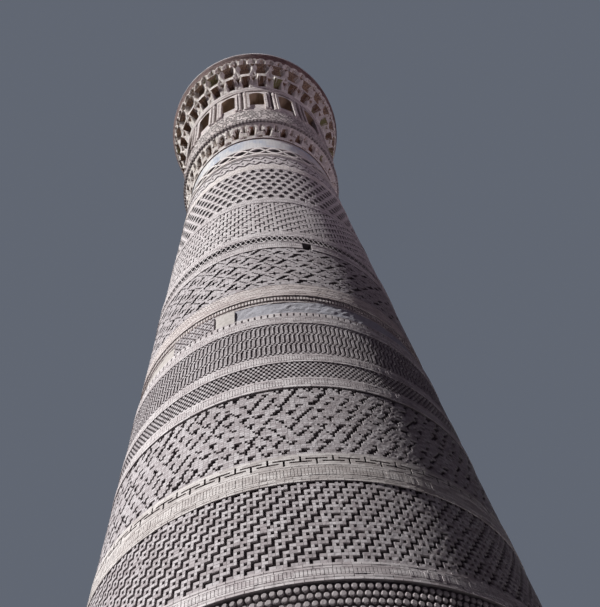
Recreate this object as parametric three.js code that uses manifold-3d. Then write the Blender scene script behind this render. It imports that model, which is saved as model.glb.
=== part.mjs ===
// A tall round brick minaret, half size.
// The shaft is a stack of hollow drums, one for each patterned band, and carries a lantern
// with sixteen arched windows between two corbelled cornices.
// The origin is at the centre of the foot on the ground, +Z is up, and the face that
// carries the pale panel and the small window looks towards -Y.

import * as THREE from 'three';
import { mergeVertices } from 'three/addons/utils/BufferGeometryUtils.js';
import Module from 'manifold-3d';

const wasm = await Module();
wasm.setup();

// Driving dimensions, in metres of the full-size tower.
// METRE turns them into the millimetres of this half-size model.
// BED_JOINT is the gap between two courses, and CUT_PAST how far a cut runs past a face.
const METRE = 500;
const BASE_RADIUS = 4.5;
const NECK_RADIUS = 3.0;
const NECK_HEIGHT = 35.0;
const TAPER = (BASE_RADIUS - NECK_RADIUS) / NECK_HEIGHT;
const WELL_RADIUS = 1.8;
const BED_JOINT = 0.3 / METRE;
const SHAFT_SIDES = 32;
const CUT_PAST = 0.5;
const FILLET_PROUD = 0.05;
const PLASTER_RECESS = 0.08;

// The ten-sided plinth, and the doorway at the back with its raised sill.
const PLINTH_SIDES = 10;
const PLINTH_RADIUS = 5.05;
const PLINTH_HEIGHT = 0.9;
const DOOR_SILL = 4.5;
const DOOR_WIDTH = 0.95;
const DOOR_SPRING = 6.1;
const DOOR_APEX = 6.6;
const ARCH_FULLNESS = 0.85;

// The small window, which lights the stair well, is as high as the fillet it breaks.
const WINDOW_ANGLE = 17;
const WINDOW_WIDTH = 0.25;

// Most of the patterned face of one band is lost, and plaster fills the recess.
// A pale slab and a stretch of the old brick mosaic stay in it: middle angle and width.
const INSET_BOTTOM = 20.76;
const INSET_TOP = 21.28;
const INSET_STEPS = 6;
const PALE_SLAB = { angle: -17.5, width: 7, depth: 0.05 };
const MOSAIC = { angle: -30.2, width: 17.5, depth: 0.08 };

// The lantern.
const BAYS = 16;
const PIER_PHASE = -7.0;
const ROOM_RADIUS = 2.6;
const HATCH_RADIUS = 0.8;
const FLOOR_BOTTOM = 38.0;
const FLOOR_TOP = 38.3;
const DENTIL_BOTTOM = 36.72;
const DENTIL_RADIUS = 3.29;
const PARAPET_BOTTOM = 36.86;
const PARAPET_TOP = 38.4;
const PARAPET_RADIUS = 3.4;
const PARAPET_SPREAD = 0.02;
const SILL = 39.42;
const SPRING = 40.85;
const ARCH_APEX = 41.18;
const ARCADE_TOP = 41.51;
const ARCADE_RADIUS = 3.36;
const OPENING_WIDTH = 0.68;
const COLONNETTE_RADIUS = 0.07;
const COLONNETTE_SPACING = 0.25;
const CORNICE_TOP = 42.02;
const CORNICE_RADIUS = 3.5;
const CORNICE_SPREAD = 0.04;
const LANTERN_SIDES = 48;

// The corbelled cornices, and the roof with the stub of the pointed top.
const CORBEL_NICHES = 30;
const VAULT_SPRING = 43.15;
const VAULT_RISE = 1.1;
const VAULT_RADIUS = 2.9;
const VAULT_STEPS = 5;
const ROOF_BOTTOM = 44.85;
const ROOF_RADIUS = 3.95;
const DECK_EDGE = 45.35;
const DECK_MIDDLE = 45.45;
const RIM_TOP = 45.6;
const RIM_LIP = 45.2;
const RIM_FOOT_RADIUS = 4.27;
const RIM_RADIUS = 4.41;
const CONE_TOP = 47.7;
const CONE_FOOT_RADIUS = 1.5;
const CONE_TIP_RADIUS = 0.5;

const BRICK = { color: '#c9bbb0', roughness: 0.92 };
const FILLET_BRICK = { color: '#d2c5b8', roughness: 0.9 };
const DRESSED_BRICK = { color: '#c6b09c', roughness: 0.9 };
const LANTERN_BRICK = { color: '#cdbcac', roughness: 0.9 };
const CORBEL_BRICK = { color: '#b79f86', roughness: 0.88 };
const PLASTER = { color: '#a9a29e', roughness: 0.95 };
const PANEL_STONE = { color: '#cbc3ab', roughness: 0.8 };
const GLAZED_TILE = { color: '#8ba9cf', roughness: 0.3 };
const ROOF_BRICK = { color: '#ab9c8c', roughness: 0.95 };

const minaret = new THREE.Group();

function place(name, geometry, finish) {
  const material = new THREE.MeshStandardMaterial({ ...finish, metalness: 0 });
  const mesh = new THREE.Mesh(geometry, material);
  mesh.name = name;
  minaret.add(mesh);
}

function shaftRadius(height) {
  return BASE_RADIUS - TAPER * height;
}

// A closed outline of [radius, height] points, in metres, turned about +Z.
function turned(outline, sides) {
  const points = outline.map(([radius, height]) => {
    return new THREE.Vector2(radius * METRE, height * METRE);
  });
  return new THREE.LatheGeometry(points, sides).rotateX(Math.PI / 2);
}

// A hollow drum between two heights, with straight inner and sloping outer faces.
function ring(bottom, top, lowRadius, highRadius, innerRadius, sides = SHAFT_SIDES) {
  const foot = bottom + BED_JOINT / 2;
  const head = top - BED_JOINT / 2;
  return turned([
    [innerRadius, foot],
    [lowRadius, foot],
    [highRadius, head],
    [innerRadius, head],
    [innerRadius, foot],
  ], sides);
}

function shaftRing(bottom, top, proud) {
  return ring(bottom, top, shaftRadius(bottom) + proud, shaftRadius(top) + proud, WELL_RADIUS);
}

// Turns a shape that was drawn facing -Y to an angle about +Z, seen positive to the right.
function turnTo(geometry, degrees) {
  return geometry.rotateZ(THREE.MathUtils.degToRad(degrees));
}

function toSolid(geometry) {
  geometry.deleteAttribute('normal');
  geometry.deleteAttribute('uv');
  const welded = mergeVertices(geometry, 1e-3);
  return new wasm.Manifold(new wasm.Mesh({
    numProp: 3,
    vertProperties: new Float32Array(welded.attributes.position.array),
    triVerts: new Uint32Array(welded.index.array),
  }));
}

function toGeometry(solid) {
  const mesh = solid.getMesh();
  const geometry = new THREE.BufferGeometry();
  geometry.setAttribute('position', new THREE.BufferAttribute(mesh.vertProperties, 3));
  geometry.setIndex(new THREE.BufferAttribute(mesh.triVerts, 1));
  return geometry;
}

// An upright opening with a pointed head, as a prism along Y from one depth to another.
function archPrism(width, bottom, spring, apex, nearRadius, farRadius) {
  const half = width / 2;
  const outline = new THREE.Shape();
  outline.moveTo(-half * METRE, bottom * METRE);
  outline.lineTo(half * METRE, bottom * METRE);
  outline.lineTo(half * METRE, spring * METRE);
  const shoulder = spring + (apex - spring) * ARCH_FULLNESS;
  outline.quadraticCurveTo(half * METRE, shoulder * METRE, 0, apex * METRE);
  outline.quadraticCurveTo(-half * METRE, shoulder * METRE, -half * METRE, spring * METRE);
  const depth = (farRadius - nearRadius) * METRE;
  const extrusion = { depth, bevelEnabled: false, curveSegments: 4 };
  const prism = new THREE.ExtrudeGeometry(outline, extrusion);
  return prism.rotateX(Math.PI / 2).translate(0, -nearRadius * METRE, 0);
}

// The ten-sided plinth and the solid foot of the shaft, up to the sill of the doorway.
function makeFoot() {
  const height = (PLINTH_HEIGHT - BED_JOINT / 2) * METRE;
  const radius = PLINTH_RADIUS * METRE;
  const plinth = new THREE.CylinderGeometry(radius, radius, height, PLINTH_SIDES);
  plinth.rotateX(Math.PI / 2).rotateZ(Math.PI / 2).translate(0, 0, height / 2);
  place('plinth', plinth, DRESSED_BRICK);

  const foot = PLINTH_HEIGHT + BED_JOINT / 2;
  const head = DOOR_SILL - BED_JOINT / 2;
  const solidFoot = turned([
    [0, foot],
    [shaftRadius(foot), foot],
    [shaftRadius(head), head],
    [0, head],
  ], SHAFT_SIDES);
  place('base_drum', solidFoot, BRICK);
}

// The drum with the doorway. The doorway is at the back and its sill is the top of the foot.
function makeDoorDrum(top) {
  const drum = toSolid(shaftRing(DOOR_SILL, top, 0));
  const far = BASE_RADIUS + CUT_PAST;
  const doorway = archPrism(DOOR_WIDTH, DOOR_SILL - CUT_PAST, DOOR_SPRING, DOOR_APEX, 0, far);
  place('door_drum', toGeometry(drum.subtract(toSolid(turnTo(doorway, 180)))), BRICK);
}

// The bands of the shaft from the doorway up: name, height of the top, how far the face
// stands in front of the cone, and finish.
const DOOR_DRUM_TOP = 8.4;
const WINDOW_BAND = 'window_fillet';
const PLASTER_BAND = 'plaster_drum';
const BANDS = [
  ['door_fillet', 8.8, FILLET_PROUD, FILLET_BRICK],
  ['basket_drum', 11.4, 0, BRICK],
  ['basket_fillet', 11.8, FILLET_PROUD, FILLET_BRICK],
  ['boss_drum', 13.8, 0, BRICK],
  ['boss_fillet', 14.07, FILLET_PROUD, FILLET_BRICK],
  ['squares_drum', 15.57, 0, BRICK],
  ['key_band', 16.17, FILLET_PROUD, DRESSED_BRICK],
  ['meander_drum', 17.98, 0, BRICK],
  ['meander_fillet', 18.28, FILLET_PROUD, FILLET_BRICK],
  ['checker_drum', 18.8, 0, BRICK],
  ['checker_fillet', 19.07, FILLET_PROUD, FILLET_BRICK],
  ['wave_drum', 20.28, 0, BRICK],
  ['dot_fillet', 20.72, FILLET_PROUD, FILLET_BRICK],
  [PLASTER_BAND, 21.32, -PLASTER_RECESS, PLASTER],
  ['ledge_fillet', 22.11, FILLET_PROUD, FILLET_BRICK],
  ['lattice_drum', 24.27, 0, BRICK],
  [WINDOW_BAND, 24.62, FILLET_PROUD, FILLET_BRICK],
  ['guilloche_band', 25.35, FILLET_PROUD / 2, DRESSED_BRICK],
  ['braid_drum', 27.77, 0, BRICK],
  ['double_fillet', 28.15, FILLET_PROUD, FILLET_BRICK],
  ['diamond_drum', 31.24, 0, BRICK],
  ['standing_fillet', 31.79, FILLET_PROUD, FILLET_BRICK],
  ['zigzag_band', 32.87, 0, BRICK],
  ['dotted_band', 34.02, FILLET_PROUD / 2, DRESSED_BRICK],
  ['glazed_band', 35.41, 0, GLAZED_TILE],
];

// The hole of the small window, from inside the stair well to past the outer face.
function windowHole(bottom, top) {
  const depth = BASE_RADIUS * METRE;
  const height = (top - bottom + CUT_PAST) * METRE;
  const hole = new THREE.BoxGeometry(WINDOW_WIDTH * METRE, depth, height);
  hole.translate(0, -(WELL_RADIUS * METRE + depth) / 2, (bottom + top) / 2 * METRE);
  return toSolid(turnTo(hole, WINDOW_ANGLE));
}

function makeShaft() {
  makeDoorDrum(DOOR_DRUM_TOP);
  let bottom = DOOR_DRUM_TOP;
  for (const [name, top, proud, finish] of BANDS) {
    let drum = shaftRing(bottom, top, proud);
    if (name === WINDOW_BAND) {
      drum = toGeometry(toSolid(drum).subtract(windowHole(bottom, top)));
    }
    if (name === PLASTER_BAND) {
      turnTo(drum, PALE_SLAB.angle);
    }
    place(name, drum, finish);
    bottom = top;
  }
  return bottom;
}

// A slab that follows the curve of the plastered band and lies against its recessed face.
function makeInset(name, { angle, width, depth }, finish) {
  const half = THREE.MathUtils.degToRad(width / 2);
  const face = shaftRadius(INSET_BOTTOM) - PLASTER_RECESS + BED_JOINT;
  const back = face / Math.cos(half / INSET_STEPS);
  const front = back + depth;
  const middle = -Math.PI / 2;
  const outline = new THREE.Shape();
  outline.absarc(0, 0, front * METRE, middle - half, middle + half, false);
  outline.absarc(0, 0, back * METRE, middle + half, middle - half, true);
  const height = (INSET_TOP - INSET_BOTTOM) * METRE;
  const extrusion = { depth: height, bevelEnabled: false, curveSegments: INSET_STEPS };
  const slab = new THREE.ExtrudeGeometry(outline, extrusion);
  place(name, turnTo(slab.translate(0, 0, INSET_BOTTOM * METRE), angle), finish);
}

// One ring of a corbelled cornice: niches are hollowed out between its ribs.
// niche is the angle of the middle of one niche.
function makeCorbelTier({ name, bottom, top, lowRadius, highRadius, inner, depth, niche }) {
  const tier = ring(bottom, top, lowRadius, highRadius, inner, CORBEL_NICHES * 2);
  const position = tier.attributes.position;
  const pitch = Math.PI / CORBEL_NICHES;
  const middle = (inner + lowRadius) / 2 * METRE;
  for (let i = 0; i < position.count; i += 1) {
    const x = position.getX(i);
    const y = position.getY(i);
    const radius = Math.hypot(x, y);
    const step = Math.round(Math.atan2(x, -y) / pitch);
    if (radius > middle && step % 2 === 0) {
      const shrink = (radius - depth * METRE) / radius;
      position.setXY(i, x * shrink, y * shrink);
    }
  }
  place(name, turnTo(tier, niche), CORBEL_BRICK);
}

const TIERS = [
  { name: 'lower_corbel_foot', bottom: 35.41, top: 36.08, lowRadius: 3.02, highRadius: 3.15,
    inner: WELL_RADIUS, depth: 0.1, niche: -1.5 },
  { name: 'lower_corbel_head', bottom: 36.08, top: DENTIL_BOTTOM, lowRadius: 3.17, highRadius: 3.28,
    inner: WELL_RADIUS, depth: 0.1, niche: 4 },
  { name: 'upper_corbel_foot', bottom: CORNICE_TOP, top: VAULT_SPRING, lowRadius: 3.54, highRadius: 3.78,
    inner: ROOM_RADIUS, depth: 0.22, niche: -3.5 },
  { name: 'upper_corbel_middle', bottom: VAULT_SPRING, top: 44.25, lowRadius: 3.84, highRadius: 4.14,
    inner: VAULT_RADIUS, depth: 0.2, niche: -3.5 },
  { name: 'upper_corbel_head', bottom: 44.25, top: ROOF_BOTTOM, lowRadius: 4.16, highRadius: 4.3,
    inner: VAULT_RADIUS, depth: 0.08, niche: 2.5 },
];

// The floor of the lantern lies on a ledge of the parapet wall, around the stair hatch.
function makeParapet() {
  const dentils = ring(DENTIL_BOTTOM, PARAPET_BOTTOM, DENTIL_RADIUS, DENTIL_RADIUS, WELL_RADIUS);
  place('dentil_course', dentils, FILLET_BRICK);
  const foot = PARAPET_BOTTOM + BED_JOINT / 2;
  const head = PARAPET_TOP - BED_JOINT / 2;
  const ledge = FLOOR_BOTTOM - BED_JOINT / 2;
  place('parapet_wall', turned([
    [WELL_RADIUS, foot],
    [PARAPET_RADIUS - PARAPET_SPREAD, foot],
    [PARAPET_RADIUS, head],
    [ROOM_RADIUS, head],
    [ROOM_RADIUS, ledge],
    [WELL_RADIUS, ledge],
    [WELL_RADIUS, foot],
  ], SHAFT_SIDES), LANTERN_BRICK);
  const edge = ROOM_RADIUS * Math.cos(Math.PI / SHAFT_SIDES) - BED_JOINT;
  place('lantern_floor', ring(FLOOR_BOTTOM, FLOOR_TOP, edge, edge, HATCH_RADIUS), DRESSED_BRICK);
}

// Two slender engaged shafts stand on each pier, with a narrow recess between them.
function pierShafts(bottom, top) {
  const height = (top - bottom - BED_JOINT) * METRE;
  const radius = COLONNETTE_RADIUS * METRE;
  return [-1, 1].map((side) => {
    const shaft = new THREE.CylinderGeometry(radius, radius, height, 6).rotateX(Math.PI / 2);
    const offset = side * COLONNETTE_SPACING / 2 * METRE;
    return shaft.translate(offset, -ARCADE_RADIUS * METRE, (bottom + top) / 2 * METRE);
  });
}

// One storey of the arcade: a ring with the sixteen windows cut through it, and the pairs
// of engaged shafts joined to its piers.
function arcadeStorey(bottom, top) {
  const bay = 360 / BAYS;
  const wall = ring(bottom, top, ARCADE_RADIUS, ARCADE_RADIUS, ROOM_RADIUS, LANTERN_SIDES);
  let solid = toSolid(turnTo(wall, PIER_PHASE));
  for (let i = 0; i < BAYS; i += 1) {
    const angle = PIER_PHASE + i * bay;
    for (const shaft of pierShafts(bottom, top)) {
      solid = solid.add(toSolid(turnTo(shaft, angle)));
    }
    const near = ROOM_RADIUS - CUT_PAST;
    const far = ARCADE_RADIUS + CUT_PAST;
    const window = archPrism(OPENING_WIDTH, SILL, SPRING, ARCH_APEX, near, far);
    solid = solid.subtract(toSolid(turnTo(window, angle + bay / 2)));
  }
  return toGeometry(solid);
}

// The piers rise from the sill wall, and the arch heads close the windows between them.
function makeArcade() {
  place('arcade_piers', arcadeStorey(PARAPET_TOP, SPRING), LANTERN_BRICK);
  place('arcade_arches', arcadeStorey(SPRING, ARCADE_TOP), LANTERN_BRICK);
  const foot = CORNICE_RADIUS - CORNICE_SPREAD;
  const cornice = ring(ARCADE_TOP, CORNICE_TOP, foot, CORNICE_RADIUS, ROOM_RADIUS);
  place('arcade_cornice', cornice, FILLET_BRICK);
}

// The vault over the lantern room springs from the lowest ring of the upper cornice.
function makeVault() {
  const edge = VAULT_RADIUS * Math.cos(Math.PI / (CORBEL_NICHES * 2)) - BED_JOINT;
  const foot = VAULT_SPRING + BED_JOINT / 2;
  const head = ROOF_BOTTOM - BED_JOINT / 2;
  const outline = [[0, foot + VAULT_RISE]];
  for (let i = 1; i <= VAULT_STEPS; i += 1) {
    const turn = i / VAULT_STEPS * Math.PI / 2;
    outline.push([ROOM_RADIUS * Math.sin(turn), foot + VAULT_RISE * Math.cos(turn)]);
  }
  outline.push([edge, foot], [edge, head], [0, head]);
  place('lantern_vault', turned(outline, SHAFT_SIDES), LANTERN_BRICK);
}

// The flat roof falls a little towards its rim, and carries the stub of the pointed top.
// The underside of the rim slopes out from the cornice to its lip.
function makeRoof() {
  const foot = ROOF_BOTTOM + BED_JOINT / 2;
  place('roof_deck', turned([
    [0, foot],
    [ROOF_RADIUS, foot],
    [ROOF_RADIUS, DECK_EDGE],
    [CONE_FOOT_RADIUS, DECK_MIDDLE],
    [0, DECK_MIDDLE],
  ], SHAFT_SIDES), ROOF_BRICK);
  const rimInner = (ROOF_RADIUS + BED_JOINT) / Math.cos(Math.PI / LANTERN_SIDES);
  place('rim_ring', turned([
    [rimInner, foot],
    [RIM_FOOT_RADIUS, foot],
    [RIM_RADIUS, RIM_LIP],
    [RIM_RADIUS, RIM_TOP],
    [rimInner, RIM_TOP],
    [rimInner, foot],
  ], LANTERN_SIDES), FILLET_BRICK);

  const coneFoot = DECK_MIDDLE + BED_JOINT;
  place('roof_cone', turned([
    [0, coneFoot],
    [CONE_FOOT_RADIUS, coneFoot],
    [CONE_TIP_RADIUS, CONE_TOP],
    [0, CONE_TOP],
  ], SHAFT_SIDES), ROOF_BRICK);
}

makeFoot();
makeShaft();
makeInset('pale_slab', PALE_SLAB, PANEL_STONE);
makeInset('mosaic_panel', MOSAIC, BRICK);
TIERS.forEach(makeCorbelTier);
makeParapet();
makeArcade();
makeVault();
makeRoof();

export default minaret;
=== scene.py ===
# %% [markdown]
# A tall round brick minaret, half size
#
# The real tower is a tapering shaft of fired brick. Its skin is a stack of bands, and each
# band is laid in a pattern of its own by setting some bricks back from the face. A lantern
# with sixteen windows stands on a corbelled cornice, and a wider cornice crowns it.
# The construction comes from a fixed frame of plain rings. This lesson dresses every ring
# in its brickwork, true to scale, and gives each material its own surface.

# %% Load the frame
import math

import bmesh
import bpy
import numpy as np
from mathutils import Matrix, Vector


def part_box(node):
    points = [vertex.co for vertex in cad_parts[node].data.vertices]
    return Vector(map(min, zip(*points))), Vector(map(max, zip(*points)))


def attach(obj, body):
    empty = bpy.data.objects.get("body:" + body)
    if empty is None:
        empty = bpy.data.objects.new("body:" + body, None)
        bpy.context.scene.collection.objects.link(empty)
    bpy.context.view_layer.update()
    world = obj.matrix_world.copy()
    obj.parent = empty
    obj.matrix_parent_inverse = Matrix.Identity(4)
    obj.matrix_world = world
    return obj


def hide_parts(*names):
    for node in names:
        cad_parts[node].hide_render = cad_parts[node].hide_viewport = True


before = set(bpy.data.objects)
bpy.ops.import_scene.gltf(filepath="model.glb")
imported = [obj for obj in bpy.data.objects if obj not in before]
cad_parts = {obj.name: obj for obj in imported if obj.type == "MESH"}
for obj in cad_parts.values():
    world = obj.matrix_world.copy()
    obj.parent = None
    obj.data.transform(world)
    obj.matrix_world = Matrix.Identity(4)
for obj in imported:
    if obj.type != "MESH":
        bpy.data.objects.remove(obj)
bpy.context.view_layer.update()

scene = bpy.context.scene
print("nodes in the frame:", len(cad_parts))

# %% [markdown]
# The camera comes first, so that every later step can be judged through it. It stands near
# the foot of the tower and looks steeply up. It is also rolled a little, so the tower leans
# to the left in the picture. A target to look at would be simpler to set than three angles,
# but it can't carry the roll. All distances are the real tower's, and METRE brings them to
# the half-size model.

# %% The camera
METRE = 0.5
CAMERA_AWAY = 11.103 * METRE
CAMERA_HEIGHT = 8.18 * METRE
PITCH = 59.726
YAW = 4.264
ROLL = -9.967
PHOTO_HEIGHT = 607
FOCAL_PIXELS = 695.5
SENSOR = 36.0
FARTHEST_SEEN = 200


def put_in_scene(name, data):
    """A new object that shows a mesh, a lamp or a lens."""
    made = bpy.data.objects.new(name, data)
    scene.collection.objects.link(made)
    return made


def camera_turn(pitch, yaw, roll):
    """A camera's rotation from how far it looks up, to the right, and is rolled."""
    pitch, yaw, roll = map(math.radians, (pitch, yaw, roll))
    ahead = Vector((math.sin(yaw) * math.cos(pitch), math.cos(yaw) * math.cos(pitch), math.sin(pitch)))
    level = Vector((math.cos(yaw), -math.sin(yaw), 0))
    above = level.cross(ahead)
    right = level * math.cos(roll) + above * math.sin(roll)
    up = above * math.cos(roll) - level * math.sin(roll)
    return Matrix((right, up, -ahead)).transposed().to_4x4()


lens = bpy.data.cameras.new("camera")
lens.sensor_width = SENSOR
lens.lens = FOCAL_PIXELS * SENSOR / PHOTO_HEIGHT
lens.clip_end = FARTHEST_SEEN
camera = put_in_scene("camera", lens)
camera.matrix_world = Matrix.Translation((0, -CAMERA_AWAY, CAMERA_HEIGHT)) @ camera_turn(PITCH, YAW, ROLL)
scene.camera = camera
print("camera looks up at", PITCH, "degrees")

# %% [markdown]
# Relief is only seen when light grazes it. One lamp stands high on the left, far enough to
# the side that every recess holds its own shadow. A second, dim and very soft, stands at the
# back and lifts the shaft's edges from the background. A wide soft spot low on the right
# looks up at the lantern and lights its shaded side, as sunlit ground round a tall tower
# does. A ring of lamps would be simpler, but it would wash the patterns out.

# %% Lamps
KEY_ANGLE = -60
KEY_HEIGHT = 46
KEY_STRENGTH = 5.8
KEY_SOFTNESS = 2.5
KEY_COLOUR = (1.0, 0.99, 0.98)
BACK_ANGLE = 165
BACK_HEIGHT = 28
BACK_STRENGTH = 1.6
BACK_SOFTNESS = 40
BACK_COLOUR = (0.93, 0.96, 1.0)
REFLECTOR_ANGLE = 55
REFLECTOR_AWAY = 20
REFLECTOR_HEIGHT = 8
REFLECTOR_RISE = 45
REFLECTOR_SPREAD = 80
REFLECTOR_SIZE = 2.5
REFLECTOR_POWER = 3400
REFLECTOR_COLOUR = (1.0, 0.84, 1.0)


def direction(angle, rise):
    """Outward at an angle round the tower and a height above the floor, in degrees."""
    turn, rise = math.radians(angle), math.radians(rise)
    return Vector((math.sin(turn) * math.cos(rise), -math.cos(turn) * math.cos(rise), math.sin(rise)))


def add_lamp(name, angle, height, strength, softness, colour):
    """A lamp as far away as the sun."""
    light = bpy.data.lights.new(name, "SUN")
    light.energy = strength
    light.angle = math.radians(softness)
    light.color = colour
    lamp = put_in_scene(name, light)
    lamp.rotation_euler = direction(angle, height).to_track_quat("Z", "Y").to_euler()


def add_reflector():
    """A wide soft spot that looks up at the lantern and leaves the foot of the tower dark."""
    light = bpy.data.lights.new("reflector", "SPOT")
    light.energy = REFLECTOR_POWER
    light.color = REFLECTOR_COLOUR
    light.spot_size = math.radians(REFLECTOR_SPREAD)
    light.spot_blend = 1.0
    light.shadow_soft_size = REFLECTOR_SIZE
    lamp = put_in_scene("reflector", light)
    lamp.location = direction(REFLECTOR_ANGLE, 0) * REFLECTOR_AWAY + Vector((0, 0, REFLECTOR_HEIGHT))
    away = direction(REFLECTOR_ANGLE, -REFLECTOR_RISE)
    lamp.rotation_euler = away.to_track_quat("Z", "Y").to_euler()


add_lamp("key_light", KEY_ANGLE, KEY_HEIGHT, KEY_STRENGTH, KEY_SOFTNESS, KEY_COLOUR)
add_lamp("back_light", BACK_ANGLE, BACK_HEIGHT, BACK_STRENGTH, BACK_SOFTNESS, BACK_COLOUR)
add_reflector()
print("light stands", KEY_HEIGHT, "degrees up")

# %% [markdown]
# The surroundings give two things: a dim violet haze that fills the shadows, and a plain
# grey background for the camera. One world shader can't be both, so a light path node
# chooses between two of them. The floor is a plain pale disc.

# %% Surroundings and floor
HAZE = ((0.86, 0.72, 1.0, 1), 0.035)
BACKDROP = ((0.60, 0.68, 0.85, 1), 0.2)
FLOOR_RADIUS = 6.5
FLOOR_SIDES = 96
FLOOR_COLOUR = (0.55, 0.54, 0.56, 1)


def add_surroundings():
    """The haze gives light, and the camera sees the backdrop behind the tower."""
    world = bpy.data.worlds.new("studio")
    world.use_nodes = True
    tree = world.node_tree
    choice = tree.nodes.new("ShaderNodeMixShader")
    tree.links.new(tree.nodes.new("ShaderNodeLightPath").outputs["Is Camera Ray"], choice.inputs[0])
    sources = (tree.nodes["Background"], tree.nodes.new("ShaderNodeBackground"))
    for number, (source, (colour, strength)) in enumerate(zip(sources, (HAZE, BACKDROP)), 1):
        source.inputs["Color"].default_value = colour
        source.inputs["Strength"].default_value = strength
        tree.links.new(source.outputs[0], choice.inputs[number])
    tree.links.new(choice.outputs[0], tree.nodes["World Output"].inputs["Surface"])
    scene.world = world
    scene.view_settings.view_transform = "Standard"


def add_floor():
    mesh = bpy.data.meshes.new("floor")
    shape = bmesh.new()
    bmesh.ops.create_circle(shape, cap_ends=True, segments=FLOOR_SIDES, radius=FLOOR_RADIUS)
    shape.to_mesh(mesh)
    shape.free()
    coat = bpy.data.materials.new("floor_paint")
    coat.use_nodes = True
    coat.node_tree.nodes["Principled BSDF"].inputs["Base Color"].default_value = FLOOR_COLOUR
    mesh.materials.append(coat)
    put_in_scene("floor", mesh)


add_surroundings()
add_floor()
print("floor is", 2 * FLOOR_RADIUS, "metres across")

# %% [markdown]
# Every ring of the frame is read back as a Band: where it starts and ends, and how its face
# slopes. Sizes of the brickwork are shares of a band or counts round it, so the bricks
# always fill the ring that carries them. Typed heights would be shorter to write, but they
# would come apart from the frame as soon as one ring of it moved.

# %% Rings of the frame
HAIR = 0.001
SMOOTH_SIDES = 160


class Band:
    """One ring of the frame: its heights and radii, in metres. A sunk one is a little thinner."""

    def __init__(self, node, sunk=0.0):
        corners = np.array([corner.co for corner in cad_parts[node].data.vertices])
        radii = np.hypot(corners[:, 0], corners[:, 1])
        height = corners[:, 2]
        self.node = node
        self.bottom = height.min()
        self.top = height.max()
        self.low = radii[height < self.bottom + HAIR].max() - sunk
        self.high = radii[height > self.top - HAIR].max() - sunk
        self.inner = radii.min()

    def face(self, height):
        """Radius of the outer face at a height."""
        return np.interp(height, [self.bottom, self.top], [self.low, self.high])

    def at(self, share):
        """Height at a share of the way up the band."""
        return self.bottom + (self.top - self.bottom) * np.asarray(share)


def on_wall(angle, height, radius):
    """Points at angles in degrees. Angle 0 faces the camera, and angles grow to the right."""
    turn = np.radians(angle)
    across, away, height = np.broadcast_arrays(radius * np.sin(turn), -radius * np.cos(turn), height)
    return np.stack([across, away, height], -1)


foot, neck = Band("base_drum"), Band("glazed_band")
TAPER = (foot.low - neck.high) / (neck.top - foot.bottom)
print("the shaft narrows by", round(TAPER * 100, 2), "cm in each metre")

# %% [markdown]
# A shape here is a list of points with arrays of faces, so that whole bands can be made
# from arrays in one go and joined into one mesh. Single objects would be easier to move,
# but there are tens of thousands of bricks. Turned shapes serve for plain rings. A relief
# is a ring of cells, where each cell lies at one of a few depths, with little walls between
# cells that differ. Loose bricks are boxes bent round the wall.

# %% Turned shapes
def quads(*corners):
    """Faces with four corners, from four arrays of their points' numbers."""
    return np.stack(corners, -1).reshape(-1, 4)


def turned(outline, sides=SMOOTH_SIDES, capped=False):
    """Turns (radius, height) points about the axis. A capped one is closed by flat ends."""
    radii, heights = np.array(outline, float).T
    angles = np.arange(sides) * 360 / sides
    points = on_wall(angles[None, :], heights[:, None], radii[:, None]).reshape(-1, 3)
    step, side = np.mgrid[: len(outline) - capped, :sides]
    after = (step + 1) % len(outline)
    beside = (side + 1) % sides
    faces = [quads(step * sides + side, step * sides + beside, after * sides + beside, after * sides + side)]
    if capped:
        around = np.arange(sides)
        faces += [around[None, ::-1], around[None, :] + (len(outline) - 1) * sides]
    return points, faces


def plain_ring(band, set_back=0.0, low=0.0, high=1.0):
    """A smooth ring between two shares of a band, set back from its face."""
    bottom, top = band.at(low), band.at(high)
    return turned([
        (band.inner, bottom),
        (band.face(bottom) - set_back, bottom),
        (band.face(top) - set_back, top),
        (band.inner, top),
    ])


print("points in a smooth ring:", len(plain_ring(foot)[0]))

# %% Reliefs
WOBBLE = 0.0006


def shuffle(seed):
    """A fresh source of random numbers that gives the same ones each time."""
    return np.random.default_rng(seed)


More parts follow.
